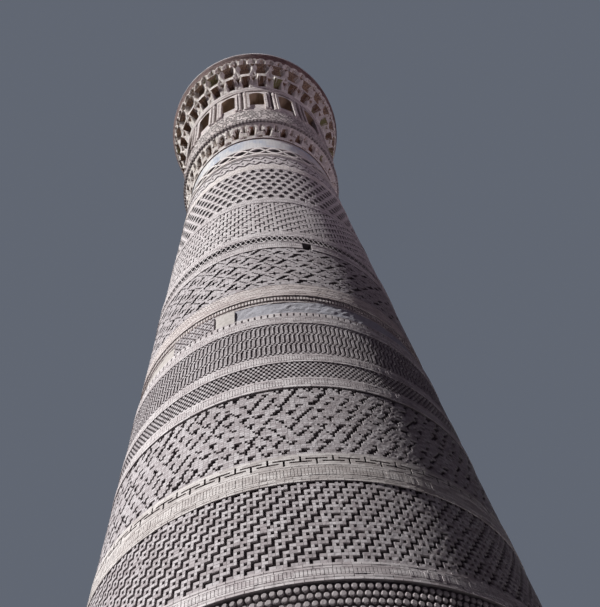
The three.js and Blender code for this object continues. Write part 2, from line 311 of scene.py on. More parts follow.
def relief(angles, heights, levels, depths, face, back, seed, wobble=WOBBLE):
    """A closed ring of cells. levels says which of the depths each cell lies at."""
    rows, columns = levels.shape
    kinds = len(depths)
    last = kinds - 1
    behind = (rows + 1) * columns * kinds

    def corner(row, column, level):
        return (row * columns + column % columns) * kinds + level

    def inner(end, column):
        return behind + end * columns + column % columns

    row, column = np.mgrid[:rows, :columns]
    after = column + 1
    groups = [quads(corner(row, column, levels), corner(row, after, levels),
                    corner(row + 1, after, levels), corner(row + 1, column, levels))]
    for step in range(last):
        near = levels <= step
        row, column = np.nonzero(near != np.roll(near, -1, axis=1))
        here = np.where(near[row, column], step, step + 1)
        there = 2 * step + 1 - here
        after = column + 1
        groups.append(quads(corner(row, after, here), corner(row, after, there),
                            corner(row + 1, after, there), corner(row + 1, after, here)))
        ends = np.pad(near, ((1, 1), (0, 0)))
        row, column = np.nonzero(ends[:-1] != ends[1:])
        here = np.where(ends[row, column], step, step + 1)
        there = 2 * step + 1 - here
        after = column + 1
        groups.append(quads(corner(row, column, here), corner(row, after, here),
                            corner(row, after, there), corner(row, column, there)))
    column = np.arange(columns)
    after = column + 1
    groups += [
        quads(corner(0, after, last), corner(0, column, last), inner(0, column), inner(0, after)),
        quads(corner(rows, column, last), corner(rows, after, last), inner(1, after), inner(1, column)),
        quads(inner(0, after), inner(0, column), inner(1, column), inner(1, after)),
    ]
    used, faces = np.unique(np.concatenate(groups), return_inverse=True)
    outer = used < behind
    row = np.where(outer, used // (kinds * columns), (used - behind) // columns * rows)
    column = np.where(outer, used // kinds, used - behind) % columns
    height = np.asarray(heights)[row]
    radius = np.where(outer, face(height) - np.asarray(depths)[used % kinds], back)
    hand = shuffle(seed).normal(0, wobble, (3, len(used))) * outer
    inside = (row > 0) & (row < rows)
    angle = np.asarray(angles)[column] + np.degrees(hand[0] / radius)
    return on_wall(angle, height + hand[1] * inside, radius + hand[2]), [faces.reshape(-1, 4)]


def even_relief(band, levels, depths, seed, edges=None, turn=0.0, widened=0.0, back=None, wobble=WOBBLE):
    """A relief with columns of one width. Its rows fill the band evenly, or else edges are the
    shares of the band where they part. Every second column can be widened by a share."""
    rows, columns = levels.shape
    column = np.arange(columns + 1)
    angles = turn + (column + widened * (column % 2)) * 360 / columns
    edges = np.linspace(0, 1, rows + 1) if edges is None else edges
    back = band.inner if back is None else back
    return relief(angles, band.at(edges), levels, depths, band.face, back, seed, wobble)


# %% Loose bricks
BOX_FACES = np.array([
    [0, 1, 5, 4], [1, 3, 7, 5], [3, 2, 6, 7],
    [2, 0, 4, 6], [4, 5, 7, 6], [2, 3, 1, 0],
])


def box_faces(count):
    """Faces of a number of boxes that each have their own eight points."""
    return [(np.arange(count)[:, None, None] * 8 + BOX_FACES).reshape(-1, 4)]


def brick_row(band, low, high, count, joint, depth, seed, turn=0.0, lean=0.0, spread=1.0, jitter=0.0008):
    """A ring of separate bricks between two heights. lean shifts their tops, in degrees,
    and spread is the share of its pitch that a brick and its joint take."""
    hand = shuffle(seed)
    pitch = 360 / count
    half_joint = np.degrees(joint / 2 / band.face(low))
    middle = turn + (np.arange(count) + 0.5 * spread) * pitch
    side = np.array([-1, 1]) * (pitch * spread / 2 - half_joint)
    height = np.array([low, high])
    out = hand.normal(0, jitter, count)
    angle = (middle[:, None, None, None] + side[None, None, None, :]
             + np.array([0, lean])[None, :, None, None])
    near = band.face(height)[None, :] + out[:, None]
    far = np.broadcast_to(band.face(height)[None, :] - depth, near.shape)
    radius = np.stack([near, far], -1)[..., None]
    points = on_wall(angle, height[None, :, None, None], radius)
    return points.reshape(-1, 3), box_faces(count)


print("a loose brick has", len(BOX_FACES), "faces")

# %% [markdown]
# One function turns shapes into a finished piece. It joins them into one mesh, gives each
# its material, lets the piece ride on the tower and hides the plain ring of the frame that it
# stands for. Joined bricks make one object of each band, which is what the frame expects.

# %% Pieces
counted = []


def make_piece(node, ending, slot, *layers):
    """One object that stands for a node of the frame, from (material, shapes) pairs."""
    name = node + "_" + ending
    mesh = bpy.data.meshes.new(name)
    points, faces, looks = [], [], []
    start = 0
    for material, shapes in layers:
        if material.name not in mesh.materials:
            mesh.materials.append(material)
        look = mesh.materials.find(material.name)
        for corners, groups in shapes:
            for group in groups:
                faces.extend((group + start).tolist())
                looks.extend([look] * len(group))
            points.append(corners)
            start += len(corners)
    mesh.from_pydata(np.concatenate(points).tolist(), [], faces)
    mesh.polygons.foreach_set("material_index", looks)
    mesh.update()
    piece = put_in_scene(name, mesh)
    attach(piece, "root")
    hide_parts(node)
    counted.append(sum(len(face) - 2 for face in faces))
    print(name, counted[-1], "triangles")
    return piece


# %% [markdown]
# Materials are built from a few shared effects, each a node group: where a point lies on
# the tower, the single bricks with their joints, and the weathering of fired clay. Painted
# textures would need a flat layout of every band, while these effects find their place on
# the wall by themselves. To write them shortly, calc and times make one math node, join
# either links a socket or sets its value, and lay_over puts one colour over another.

# %% Node helpers
def join(tree, source, socket):
    if isinstance(source, bpy.types.NodeSocket):
        tree.links.new(source, socket)
    else:
        socket.default_value = source


def calc(tree, operation, *values):
    node = tree.nodes.new("ShaderNodeMath")
    node.operation = operation
    for value, socket in zip(values, node.inputs):
        join(tree, value, socket)
    return node.outputs[0]


def times(tree, first, second):
    return calc(tree, "MULTIPLY", first, second)


def fade(tree, value, start, end):
    """0 below start, 1 above end, and smooth between them."""
    node = tree.nodes.new("ShaderNodeMapRange")
    node.interpolation_type = "SMOOTHSTEP"
    for source, label in ((value, "Value"), (start, "From Min"), (end, "From Max")):
        join(tree, source, node.inputs[label])
    return node.outputs["Result"]


def mix(tree, share, first, second, blend="MIX"):
    node = tree.nodes.new("ShaderNodeMix")
    node.data_type = "RGBA"
    node.blend_type = blend
    join(tree, share, node.inputs["Factor"])
    for source, socket in ((first, node.inputs[6]), (second, node.inputs[7])):
        join(tree, source, socket)
    return node.outputs[2]


def lay_over(tree, below, over, mask, strength, blend="MIX"):
    """Lays a colour over another one where a mask says so, at a given strength."""
    return mix(tree, times(tree, mask, strength), below, over, blend)


def noise(tree, scale, detail, vector):
    node = tree.nodes.new("ShaderNodeTexNoise")
    node.inputs["Scale"].default_value = scale
    node.inputs["Detail"].default_value = detail
    tree.links.new(vector, node.inputs["Vector"])
    return node.outputs["Fac"]


def object_point(tree):
    """Where a point lies in its own object. Every piece here has its origin at the tower's."""
    return tree.nodes.new("ShaderNodeTexCoord").outputs["Object"]


def apart(tree, vector):
    """The three numbers of a vector."""
    node = tree.nodes.new("ShaderNodeSeparateXYZ")
    tree.links.new(vector, node.inputs[0])
    return node.outputs


def new_group(name, inputs, outputs):
    """An empty node group, with the sockets of its input and output ends."""
    tree = bpy.data.node_groups.new(name, "ShaderNodeTree")
    for label, value in inputs.items():
        socket = tree.interface.new_socket(label, in_out="INPUT", socket_type="NodeSocketFloat")
        socket.default_value = value
    for label in outputs:
        tree.interface.new_socket(label, in_out="OUTPUT", socket_type="NodeSocketFloat")
    return tree, tree.nodes.new("NodeGroupInput").outputs, tree.nodes.new("NodeGroupOutput").inputs


def use_group(tree, group, **values):
    """Places a group in a material or another group, and returns its outputs. An underscore in
    a value's name stands for the space in the socket's."""
    node = tree.nodes.new("ShaderNodeGroup")
    node.node_tree = group
    for label, value in values.items():
        join(tree, value, node.inputs[label.replace("_", " ")])
    return node.outputs


# %% The group that says where a point lies
def build_place_group():
    """Turns runs from 0 to 1 round the tower, and Radius is the distance from its axis."""
    tree, _, ends = new_group("place_on_tower", {}, ["Turns", "Height", "Radius"])
    across, away, height = apart(tree, object_point(tree))
    angle = calc(tree, "ARCTAN2", across, times(tree, away, -1.0))
    join(tree, calc(tree, "MULTIPLY_ADD", angle, 0.5 / math.pi, 0.5), ends["Turns"])
    join(tree, height, ends["Height"])
    squares = calc(tree, "ADD", times(tree, across, across), times(tree, away, away))
    join(tree, calc(tree, "SQRT", squares), ends["Radius"])
    return tree


PLACE = build_place_group()
print("group:", PLACE.name)


# %% The group that says which way a face looks
def build_facing_group():
    """Outward is 1 on the wall's face, and Sideways is 1 on a wall that looks along it."""
    tree, _, ends = new_group("which_way_it_faces", {}, ["Outward", "Sideways"])
    point = apart(tree, object_point(tree))
    normal = apart(tree, tree.nodes.new("ShaderNodeNewGeometry").outputs["True Normal"])
    radius = use_group(tree, PLACE)["Radius"]
    for label, first, second, sign in (("Outward", 0, 1, 1.0), ("Sideways", 1, 0, -1.0)):
        left = times(tree, normal[0], point[first])
        right = times(tree, times(tree, normal[1], point[second]), sign)
        along = calc(tree, "DIVIDE", calc(tree, "ADD", left, right), radius)
        join(tree, calc(tree, "ABSOLUTE", along), ends[label])
    return tree


FACING = build_facing_group()
print("group:", FACING.name)

# %% [markdown]
# Fired bricks differ from one to the next, and mortar shows as a thin paler line between
# them. The group counts courses up the wall and bricks round it, gives each brick its own
# random tint, and marks the joints. Every second course is shifted by half a brick. In
# paving the courses are counted outward instead. Blender's own brick texture lies on a flat
# plane, so it would be stretched round a tapering tower.

# %% The group of laid bricks
JOINT_CORE = 0.3
JOINT_EDGE = 0.8


def build_brick_group():
    inputs = {"Bottom": 0.0, "Course": 0.0277, "Bricks Round": 100.0, "Joint": 0.003, "Shift": 0.5,
              "Paved": 0.0}
    tree, given, ends = new_group("laid_bricks", inputs, ["Tint", "Wear", "Joint"])
    place = use_group(tree, PLACE)
    level = calc(tree, "MULTIPLY_ADD", place["Radius"], given["Paved"], place["Height"])
    courses = calc(tree, "DIVIDE", calc(tree, "SUBTRACT", level, given["Bottom"]), given["Course"])
    course = calc(tree, "FLOOR", courses)
    odd = times(tree, calc(tree, "MODULO", course, 2.0), given["Shift"])
    bricks = calc(tree, "ADD", times(tree, place["Turns"], given["Bricks Round"]), odd)
    pair = tree.nodes.new("ShaderNodeCombineXYZ")
    join(tree, calc(tree, "FLOOR", bricks), pair.inputs[0])
    join(tree, course, pair.inputs[1])
    chance = tree.nodes.new("ShaderNodeTexWhiteNoise")
    chance.noise_dimensions = "2D"
    tree.links.new(pair.outputs[0], chance.inputs["Vector"])
    colours = tree.nodes.new("ShaderNodeSeparateColor")
    tree.links.new(chance.outputs["Color"], colours.inputs[0])
    join(tree, colours.outputs[0], ends["Tint"])
    join(tree, colours.outputs[1], ends["Wear"])
    length = calc(tree, "DIVIDE", times(tree, place["Radius"], 2 * math.pi), given["Bricks Round"])
    beside = times(tree, calc(tree, "PINGPONG", bricks, 0.5), length)
    below = times(tree, calc(tree, "PINGPONG", courses, 0.5), given["Course"])
    from_edge = calc(tree, "MINIMUM", beside, below)
    core, edge = (times(tree, given["Joint"], share) for share in (JOINT_CORE, JOINT_EDGE))
    join(tree, calc(tree, "SUBTRACT", 1.0, fade(tree, from_edge, core, edge)), ends["Joint"])
    return tree


BRICKS = build_brick_group()
print("group:", BRICKS.name)

# %% [markdown]
# Centuries of summers and winters leave fired clay pitted and streaked by rain. Noise at
# three scales serves for all of it: pits of a few millimetres, blotches the size of a brick,
# and pale and dark clouds that run across whole bands, drawn out upwards as rain leaves them.
# How far a point lies behind the wall's face is measured here too, so that the recesses can
# be darkened with painted shade without any drawn mask.

# %% The group of weathered clay
PIT_SCALE = 210.0
BLOTCH_SCALE = 26.0
CLOUD_SCALE = 1.6
CLOUD_STRETCH = 0.45
HOLLOW_START = 0.002


def build_weather_group():
    inputs = {"Recess": 0.03, "Base": 2.25, "Slope": -TAPER}
    outputs = ["Pits", "Blotches", "Clouds", "Behind", "Hollow"]
    tree, given, ends = new_group("weathered_clay", inputs, outputs)
    place = use_group(tree, PLACE)
    point = object_point(tree)
    stretched = tree.nodes.new("ShaderNodeMapping")
    stretched.inputs["Scale"].default_value = (1.0, 1.0, CLOUD_STRETCH)
    tree.links.new(point, stretched.inputs["Vector"])
    join(tree, noise(tree, PIT_SCALE, 3.0, point), ends["Pits"])
    join(tree, noise(tree, BLOTCH_SCALE, 3.0, point), ends["Blotches"])
    join(tree, noise(tree, CLOUD_SCALE, 5.0, stretched.outputs[0]), ends["Clouds"])
    face = calc(tree, "MULTIPLY_ADD", place["Height"], given["Slope"], given["Base"])
    behind = calc(tree, "SUBTRACT", face, place["Radius"])
    join(tree, behind, ends["Behind"])
    join(tree, fade(tree, behind, HOLLOW_START, given["Recess"]), ends["Hollow"])
    return tree


WEATHER = build_weather_group()
print("group:", WEATHER.name)

# %% [markdown]
# The brickwork material mixes two clays by each brick's tint, lays the mortar over them,
# darkens the hollows with painted shade, and bends the light at joints and pits with one
# bump. Colours are written as a painter would name them, from 0 to 255.

# %% Brickwork
def paint(red, green, blue):
    """A colour from 0 to 255, as the renderer wants it."""
    return tuple((value / 255) ** 2.2 for value in (red, green, blue)) + (1,)


COURSE = 0.0555 * METRE
HEADER = 0.125 * METRE
STRETCHER = 0.25 * METRE
CLAYS = {
    "brick": (paint(214, 208, 210), paint(178, 169, 171)),
    "fillet": (paint(232, 226, 226), paint(202, 193, 194)),
    "pale": (paint(248, 242, 239), paint(228, 219, 215)),
    "dressed": (paint(228, 222, 219), paint(197, 189, 186)),
    "lantern": (paint(230, 221, 218), paint(198, 186, 183)),
    "corbel": (paint(252, 246, 241), paint(232, 222, 214)),
    # The rim's clay is darkened partly as its own brown and partly as painted shade of its sloping
    # underside.
    "rim": (paint(156, 128, 122), paint(112, 86, 82)),
    "roof": (paint(170, 156, 146), paint(132, 118, 108)),
    "vault": (paint(192, 168, 142), paint(150, 128, 106)),
}
MORTAR = paint(150, 142, 142)
# Dark grey for random blotches of soot, and for painted shade in the hollows.
SOOT_AND_SHADE = paint(66, 58, 61)
CLAY_ROUGHNESS = 0.9
ROUGHNESS_SPREAD = 0.12
CLOUD_DARKENING = 0.28
BLOTCH_DARKENING = 0.3
MORTAR_SHOWS = 0.6
UNEVENNESS = 0.35
BRICK_BUMP = 0.003


def principled(name):
    """A new material and its tree and shader."""
    material = bpy.data.materials.new(name)
    material.use_nodes = True
    return material, material.node_tree, material.node_tree.nodes["Principled BSDF"]


def add_bump(tree, shader, height, distance=BRICK_BUMP, strength=1.0):
    bump = tree.nodes.new("ShaderNodeBump")
    bump.inputs["Distance"].default_value = distance
    bump.inputs["Strength"].default_value = strength
    tree.links.new(height, bump.inputs["Height"])
    tree.links.new(bump.outputs["Normal"], shader.inputs["Normal"])


def weather_on(tree, band, recess=0.03):
    """The weather group, told how the face of a band slopes."""
    slope = (band.high - band.low) / (band.top - band.bottom)
    return use_group(tree, WEATHER, Recess=recess, Base=band.low - slope * band.bottom, Slope=slope)


def courses_in(band):
    return round((band.top - band.bottom) / COURSE)


def bricks_round(band, length=STRETCHER):
    return round(2 * math.pi * band.low / length)


def brickwork(name, clay, band, courses=None, bricks=None, joint=0.004, shift=0.5, painted_shade=0.75, recess=0.03,
              hollow=SOOT_AND_SHADE, indoors=False, paved=0.0):
    """Brick with courses counted up one band and bricks counted round it, or else of common
    size. The hollow colour is painted shade: it fills recesses, or in indoors brick every face
    that doesn't look outward."""
    material, tree, shader = principled(name)
    course = (band.top - band.bottom) / (courses or courses_in(band))
    laid = use_group(tree, BRICKS, Bottom=band.bottom, Course=course,
                     Bricks_Round=float(bricks or bricks_round(band)), Joint=joint, Shift=shift, Paved=paved)
    weather = weather_on(tree, band, recess)
    light, dark = CLAYS[clay]
    colour = mix(tree, fade(tree, laid["Tint"], 0.1, 1.0), light, dark)
    cloud = fade(tree, weather["Clouds"], 0.35, 0.68)
    colour = lay_over(tree, colour, dark, cloud, CLOUD_DARKENING, "MULTIPLY")
    blotch = fade(tree, weather["Blotches"], 0.52, 0.75)
    colour = lay_over(tree, colour, SOOT_AND_SHADE, blotch, BLOTCH_DARKENING)
    colour = lay_over(tree, colour, MORTAR, laid["Joint"], MORTAR_SHOWS)
    # The hollow colour is painted shade, laid over the recesses, or with indoors over every face that
    # doesn't look outward.
    shaded_part = weather["Hollow"]
    if indoors:
        shaded_part = fade(tree, use_group(tree, FACING)["Outward"], 0.7, 0.4)
    colour = lay_over(tree, colour, hollow, shaded_part, painted_shade)
    join(tree, colour, shader.inputs["Base Color"])
    least = CLAY_ROUGHNESS - ROUGHNESS_SPREAD / 2
    rough = calc(tree, "MULTIPLY_ADD", weather["Blotches"], ROUGHNESS_SPREAD, least)
    join(tree, rough, shader.inputs["Roughness"])
    pits = times(tree, weather["Pits"], UNEVENNESS)
    uneven = calc(tree, "MULTIPLY_ADD", laid["Wear"], UNEVENNESS, pits)
    add_bump(tree, shader, calc(tree, "SUBTRACT", uneven, laid["Joint"]))
    return material


print("kinds of clay:", ", ".join(CLAYS))

# %% [markdown]
# Below the first patterned band the tower stands on a ten-sided plinth and a solid foot,
# and its doorway is high up at the back. These parts are plain coursed brick, so the
# material draws the joints and the shapes stay simple. The arched doorway is cut through
# the drum with a boolean: it costs few faces, and its reveal shows the wall's thickness.

# %% Openings cut through the wall
ARCH_STEPS = 12
CUT_FROM = 0.5
CUT_TO = 1.2


def prism(outline, near, far, angle):
    """An outline of (across, height) points drawn through the wall between two radii."""
    across, height = np.array(outline).T
    count = len(outline)
    turn = np.radians(angle)
    points = []
    for radius in (near, far):
        x = across * np.cos(turn) + radius * np.sin(turn)
        y = across * np.sin(turn) - radius * np.cos(turn)
        points.append(np.stack([x, y, height], -1))
    step = np.arange(count)
    after = (step + 1) % count
    sides = quads(step, after, after + count, step + count)
    return np.concatenate(points), [sides, step[None, :], step[None, ::-1] + count]


def cut(piece, band, outline, angle):
    """Cuts an outline of (across, height) points through the wall of a piece for good."""
    points, groups = prism(outline, band.inner * CUT_FROM, band.low * CUT_TO, angle)
    mesh = bpy.data.meshes.new("cutter")
    mesh.from_pydata(points.tolist(), [], [face for group in groups for face in group.tolist()])
    tidy = bmesh.new()
    tidy.from_mesh(mesh)
    bmesh.ops.recalc_face_normals(tidy, faces=tidy.faces)
    tidy.to_mesh(mesh)
    tidy.free()
    cutter = put_in_scene("cutter", mesh)
    change = piece.modifiers.new("cut", "BOOLEAN")
    change.object = cutter
    change.solver = "EXACT"
    bpy.context.view_layer.update()
    result = bpy.data.meshes.new_from_object(piece.evaluated_get(bpy.context.evaluated_depsgraph_get()))
    piece.modifiers.clear()
    piece.data = result
    bpy.data.objects.remove(cutter)


# %% Plinth, foot and doorway
PLINTH_SIDES = 10
PLINTH_CHAMFER = 0.03
DOOR_ANGLE = 180
DOOR_WIDTH = 0.95 * METRE
DOOR_SPRING = 6.1 * METRE
DOOR_APEX = 6.6 * METRE
BELOW_SILL = 0.1


def door_outline(bottom):
    """A pointed arch as (across, height) points, from its left foot round to its right."""
    half = DOOR_WIDTH / 2
    share = np.linspace(0, 1, ARCH_STEPS + 1)
    rise = DOOR_APEX - DOOR_SPRING
    curve = [(half * (1 - part ** 2.2), DOOR_SPRING + rise * part ** 0.85) for part in share]
    left, right = [(-x, z) for x, z in curve], [(x, z) for x, z in curve[-2::-1]]
    return [(-half, bottom)] + left + right + [(half, bottom)]


def make_plinth():
    band = Band("plinth")
    points, faces = turned([
        (band.low, band.bottom),
        (band.low, band.top - PLINTH_CHAMFER),
        (band.low - PLINTH_CHAMFER, band.top),
    ], PLINTH_SIDES, capped=True)
    quarter = np.array(Matrix.Rotation(math.radians(90), 3, "Z"))
    stone = brickwork("plinth_brick", "dressed", band, painted_shade=0.0)
    make_piece("plinth", "brickwork", "dressed_brick", (stone, [(points @ quarter.T, faces)]))


def make_drums():
    """The solid foot, and above it the hollow drum with the doorway."""
    drum = Band("base_drum")
    shape = turned([(drum.low, drum.bottom), (drum.high, drum.top)], capped=True)
    make_piece("base_drum", "brickwork", "brick", (brickwork("base_brick", "brick", drum), [shape]))

    drum = Band("door_drum")
    clay = brickwork("door_brick", "brick", drum)
    piece = make_piece("door_drum", "brickwork", "brick", (clay, [plain_ring(drum)]))
    cut(piece, drum, door_outline(drum.bottom - BELOW_SILL), DOOR_ANGLE)


make_plinth()
make_drums()

# %% [markdown]
# Narrow fillets part the bands. Each is a few thin courses with a row of bricks on end
# between them, and stands a little proud of the shaft. A drawn joint would do from far
# away, but the fillets catch the light along the whole shaft. So every brick here is a real
# small box, laid on a core that is set back by the depth of a joint.

# %% Fillets
FILLET_SUNK = 0.036 * METRE
CORE_SET_BACK = 0.005
INTO_CORE = 0.004
JOINT = 0.009 * METRE
STANDING = 0.052 * METRE
FILLET_JOINT = 0.0012
ROW_KINDS = {"long": STRETCHER, "standing": STANDING}
THIN = ("long", 1.0)
ON_END = ("standing", 2.5)


def fillet_rows(band, rows, seed, low=0.0, high=1.0):
    """Rows of bricks between two shares of a band, from (kind, share of their height) pairs."""
    shapes = []
    total = sum(share for _, share in rows)
    start = low
    for number, (kind, share) in enumerate(rows):
        end = start + share / total * (high - low)
        bottom, top = band.at(start) + JOINT / 2, band.at(end) - JOINT / 2
        count = bricks_round(band, ROW_KINDS[kind])
        turn = number % 2 * 180 / count
        depth = CORE_SET_BACK + INTO_CORE
        shapes.append(brick_row(band, bottom, top, count, JOINT, depth, seed + number, turn))
        start = end
    return shapes


def fillet_clay(band, clay):
    return brickwork(band.node + "_clay", clay, band, joint=FILLET_JOINT, painted_shade=0.6, recess=0.006)


def make_fillet(node, rows, clay, seed):
    band = Band(node, FILLET_SUNK)
    shapes = [plain_ring(band, CORE_SET_BACK)] + fillet_rows(band, rows, seed)
    make_piece(node, "bricks", "fillet_brick", (fillet_clay(band, clay), shapes))


LOW_FILLET = [THIN, THIN, ON_END, THIN, THIN]
HIGH_FILLET = [THIN, ON_END, THIN]
DOUBLE_FILLET = [THIN, ON_END, ON_END, THIN]
FILLETS = {
    "door_fillet": LOW_FILLET,
    "basket_fillet": LOW_FILLET,
    "boss_fillet": LOW_FILLET,
    "meander_fillet": HIGH_FILLET,
    "checker_fillet": HIGH_FILLET,
    "double_fillet": DOUBLE_FILLET,
    "standing_fillet": DOUBLE_FILLET,
}
for number, (node, rows) in enumerate(FILLETS.items()):
    make_fillet(node, rows, "pale" if node == "standing_fillet" else "fillet", 10 * number)

# %% [markdown]
# The patterned drums follow. The lowest is a weave of square blocks, four bricks lying and
# four standing in turn. It is below the picture, so its pattern is taken from such towers
# in general. Loose bricks on a plain core suit it, since no two of them have to meet.

# %% Basket weave
WEAVE_BLOCKS = 96
WEAVE_TIERS = 11
BLOCK_BRICKS = 4
WEAVE_DEPTH = 0.03
WEAVE_JITTER = 0.003


def lying_and_standing(band):
    """Blocks of four bricks, lying and standing in turn, as a weave round the drum."""
    shapes = []
    pitch = 360 / WEAVE_BLOCKS
    half_round = WEAVE_BLOCKS // 2
    for tier in range(WEAVE_TIERS):
        low, high = band.at(tier / WEAVE_TIERS), band.at((tier + 1) / WEAVE_TIERS)
        course = (high - low) / BLOCK_BRICKS
        for part in range(BLOCK_BRICKS):
            seed = 400 + tier * 2 * BLOCK_BRICKS + part
            bottom, top = low + part * course + JOINT, low + (part + 1) * course - JOINT
            shapes.append(brick_row(band, bottom, top, half_round, JOINT * 2, WEAVE_DEPTH, seed,
                                    tier % 2 * pitch, spread=0.5, jitter=WEAVE_JITTER))
            turn = (1 - tier % 2) * pitch + part * pitch / BLOCK_BRICKS
            shapes.append(brick_row(band, low + JOINT, high - JOINT, half_round, JOINT * 2, WEAVE_DEPTH,
                                    seed + BLOCK_BRICKS, turn, spread=0.5 / BLOCK_BRICKS,
                                    jitter=WEAVE_JITTER))
    return shapes


def make_basket_drum():
    band = Band("basket_drum")
    clay = brickwork("basket_clay", "brick", band, WEAVE_TIERS * BLOCK_BRICKS, WEAVE_BLOCKS, joint=0.001)
    shapes = [plain_ring(band, WEAVE_DEPTH - INTO_CORE)] + lying_and_standing(band)
    make_piece("basket_drum", "brickwork", "brick", (clay, shapes))


make_basket_drum()

# %% [markdown]
# The lowest band in the picture is studded with round bosses, set like eggs in a tray.
# Each boss is a short eight-sided stub with a rounded-off edge, standing in a recess. Balls
# would be rounder, but thousands of them would be too many faces, and the real ones are
# flat in front. The top rows, which the picture shows, are rounded; the others are plainer.

# %% Bosses
DEEP = 0.052 * METRE
BOSS_WIDTH = 0.086 * METRE
BOSS_ROW = 0.110 * METRE
BOSS_ROUND = 243
TOP_ROW_AT = 0.72
ROUNDED_ROWS = 5
ROUNDED_BOSS = (8, [(1.0, DEEP * 1.02), (1.0, 0.006), (0.72, 0.0)])
PLAIN_BOSS = (6, [(1.0, DEEP * 1.02), (0.9, 0.0)])


def boss_ring(band, height, turn, boss, seed):
    """One row of bosses round the drum. A boss is its number of sides, and from its foot to its
    head how wide it is and how far behind the face."""
    hand = shuffle(seed)
    middle = turn + np.arange(BOSS_ROUND) * 360 / BOSS_ROUND
    sides, profile = boss
    corner = np.radians((np.arange(sides) + 0.5) * 360 / sides)
    size = BOSS_WIDTH / 2 * hand.uniform(0.92, 1.05, (BOSS_ROUND, 1))
    out = hand.uniform(-0.004, 0.0, (BOSS_ROUND, 1))
    rings = []
    for reach, drop in profile:
        across = np.cos(corner) * size * reach
        lift = np.sin(corner) * size * reach
        angle = middle[:, None] + np.degrees(across / band.low)
        rings.append(on_wall(angle, height + lift, band.face(height) - drop + out))
    points = np.stack(rings, 1).reshape(-1, 3)
    side = np.arange(sides)
    after = (side + 1) % sides
    walls = np.concatenate([quads(side, after, after + sides, side + sides) + ring * sides
                            for ring in range(len(profile) - 1)])
    start = np.arange(BOSS_ROUND)[:, None, None] * sides * len(profile)
    caps = start[:, :, 0] + side + sides * (len(profile) - 1)
    return points, [(start + walls).reshape(-1, 4), caps]


def make_bosses():
    band = Band("boss_drum")
    rows = int((band.top - band.bottom) / BOSS_ROW)
    clay = brickwork("boss_clay", "brick", band, rows, BOSS_ROUND, joint=0.0)
    shapes = [plain_ring(band, DEEP)]
    for row in range(rows):
        height = band.top - (row + TOP_ROW_AT) * BOSS_ROW
        boss = ROUNDED_BOSS if row < ROUNDED_ROWS else PLAIN_BOSS
        shapes.append(boss_ring(band, height, row % 2 * 180 / BOSS_ROUND, boss, 40 + row))
    make_piece("boss_drum", "bosses", "brick", (clay, shapes))


make_bosses()

# %% [markdown]
# Most of the other patterns can be laid on a grid of half bricks, as the bricklayers laid
# them. Each is a small rule that says, for each cell of the grid, whether it stands at the
# face (level 0) or is set back (level 1). An image of the wall would give the same
# picture, but a rule keeps every edge sharp and can be read and changed.

# %% Drums from a rule
def grid(rows, columns):
    """The row and the column of every cell."""
    return np.mgrid[:rows, :columns]


def make_drum(node, levels, seed, depth=DEEP, turn=0.0, clay="brick", bricks=2, painted_shade=0.8, edges=None,
              shade_share=1.0, widened=0.0):
    """A patterned drum from its rule's levels, with joints drawn where the cells meet. edges are
    the courses where its rows part. The painted shade in the recesses is full from a share of
    the depth on."""
    band = Band(node)
    rows, columns = levels.shape
    courses = edges[-1] if edges else rows
    material = brickwork(node + "_clay", clay, band, courses, columns // bricks, joint=0.0035, shift=0.0,
                         painted_shade=painted_shade, recess=depth * shade_share)
    shares = np.array(edges) / courses if edges else None
    shape = even_relief(band, levels, [0.0, depth], seed, shares, turn, widened)
    make_piece(node, "brickwork", "brick", (material, [shape]))


# %% [markdown]
# Above the bosses small hollow squares link corner to corner in rising chains. A square is
# three half bricks wide with a hole in the middle, and each one shares a corner with the
# next. In places the bricklayers filled the gap between chains with one more square.
# The remainder of a column's number after division by six says where in a chain it lies.

# %% Linked squares
SQUARES_TURN = -0.755
EXTRA_SQUARES = 0.09


def linked_squares(tiers=14, chains=87, seed=5):
    row, column = grid(tiers * 2, chains * 6)
    tier = row // 2
    step = (column - tier * 2) % 6
    chain = (column - tier * 2) // 6 % chains
    odd = row % 2 == 1
    levels = np.where(odd, (step != 0) & (step != 2), step == 3)
    extra = shuffle(seed).random((tiers, chains)) < EXTRA_SQUARES
    filled = extra[tier, chain] & np.where(odd, (step == 3) | (step == 5), step == 3)
    return (levels & ~filled).astype(int)


make_drum("squares_drum", linked_squares(), 22, turn=SQUARES_TURN)

# %% [markdown]
# The key band is cut from larger, finer bricks. Its courses are long and thin, then comes
# a row on end, and at the top a key pattern: a stem that rises from below with a bar across
# its head, between stems that hang from above with a bar across their feet. Its grooves are
# narrow and its bricks wide, so here the grid's lines are placed one by one.

# %% Key band
KEY_ROUND = 48
KEY_TURN = -1.7
KEY_STEM = 0.25
KEY_HANGING = 3.8
KEY_BAR = 2.55
KEY_GROOVE = 0.03
KEY_START = 0.56
KEY_COURSES = [("long", 0.06), ("long", 0.06), ("long", 0.06), ("standing", 0.24), ("long", 0.07)]
KEY_ROWS = [KEY_START, 0.60, 0.69, 0.75, 0.79, 0.85, 0.93, 1.0]


def key_levels():
    """Cells of one key: edges across it in degrees, and which of them are grooves."""
    pitch = 360 / KEY_ROUND
    edges = [-KEY_STEM, KEY_STEM, KEY_HANGING - KEY_BAR, KEY_BAR, KEY_HANGING - KEY_STEM,
             KEY_HANGING + KEY_STEM, pitch - KEY_BAR, KEY_HANGING + KEY_BAR]
    middle = np.array(edges) + np.diff(edges + [pitch - KEY_STEM]) / 2
    near = np.minimum(middle, pitch - middle)
    stem, bar = near < KEY_STEM, near < KEY_BAR
    hanging = abs(middle - KEY_HANGING) < KEY_STEM
    hanging_bar = abs(middle - KEY_HANGING) < KEY_BAR
    none = np.zeros(len(edges), bool)
    rows = [none, stem, stem | hanging_bar, stem | hanging, bar | hanging, hanging, none]
    return edges, np.array(rows).astype(int)


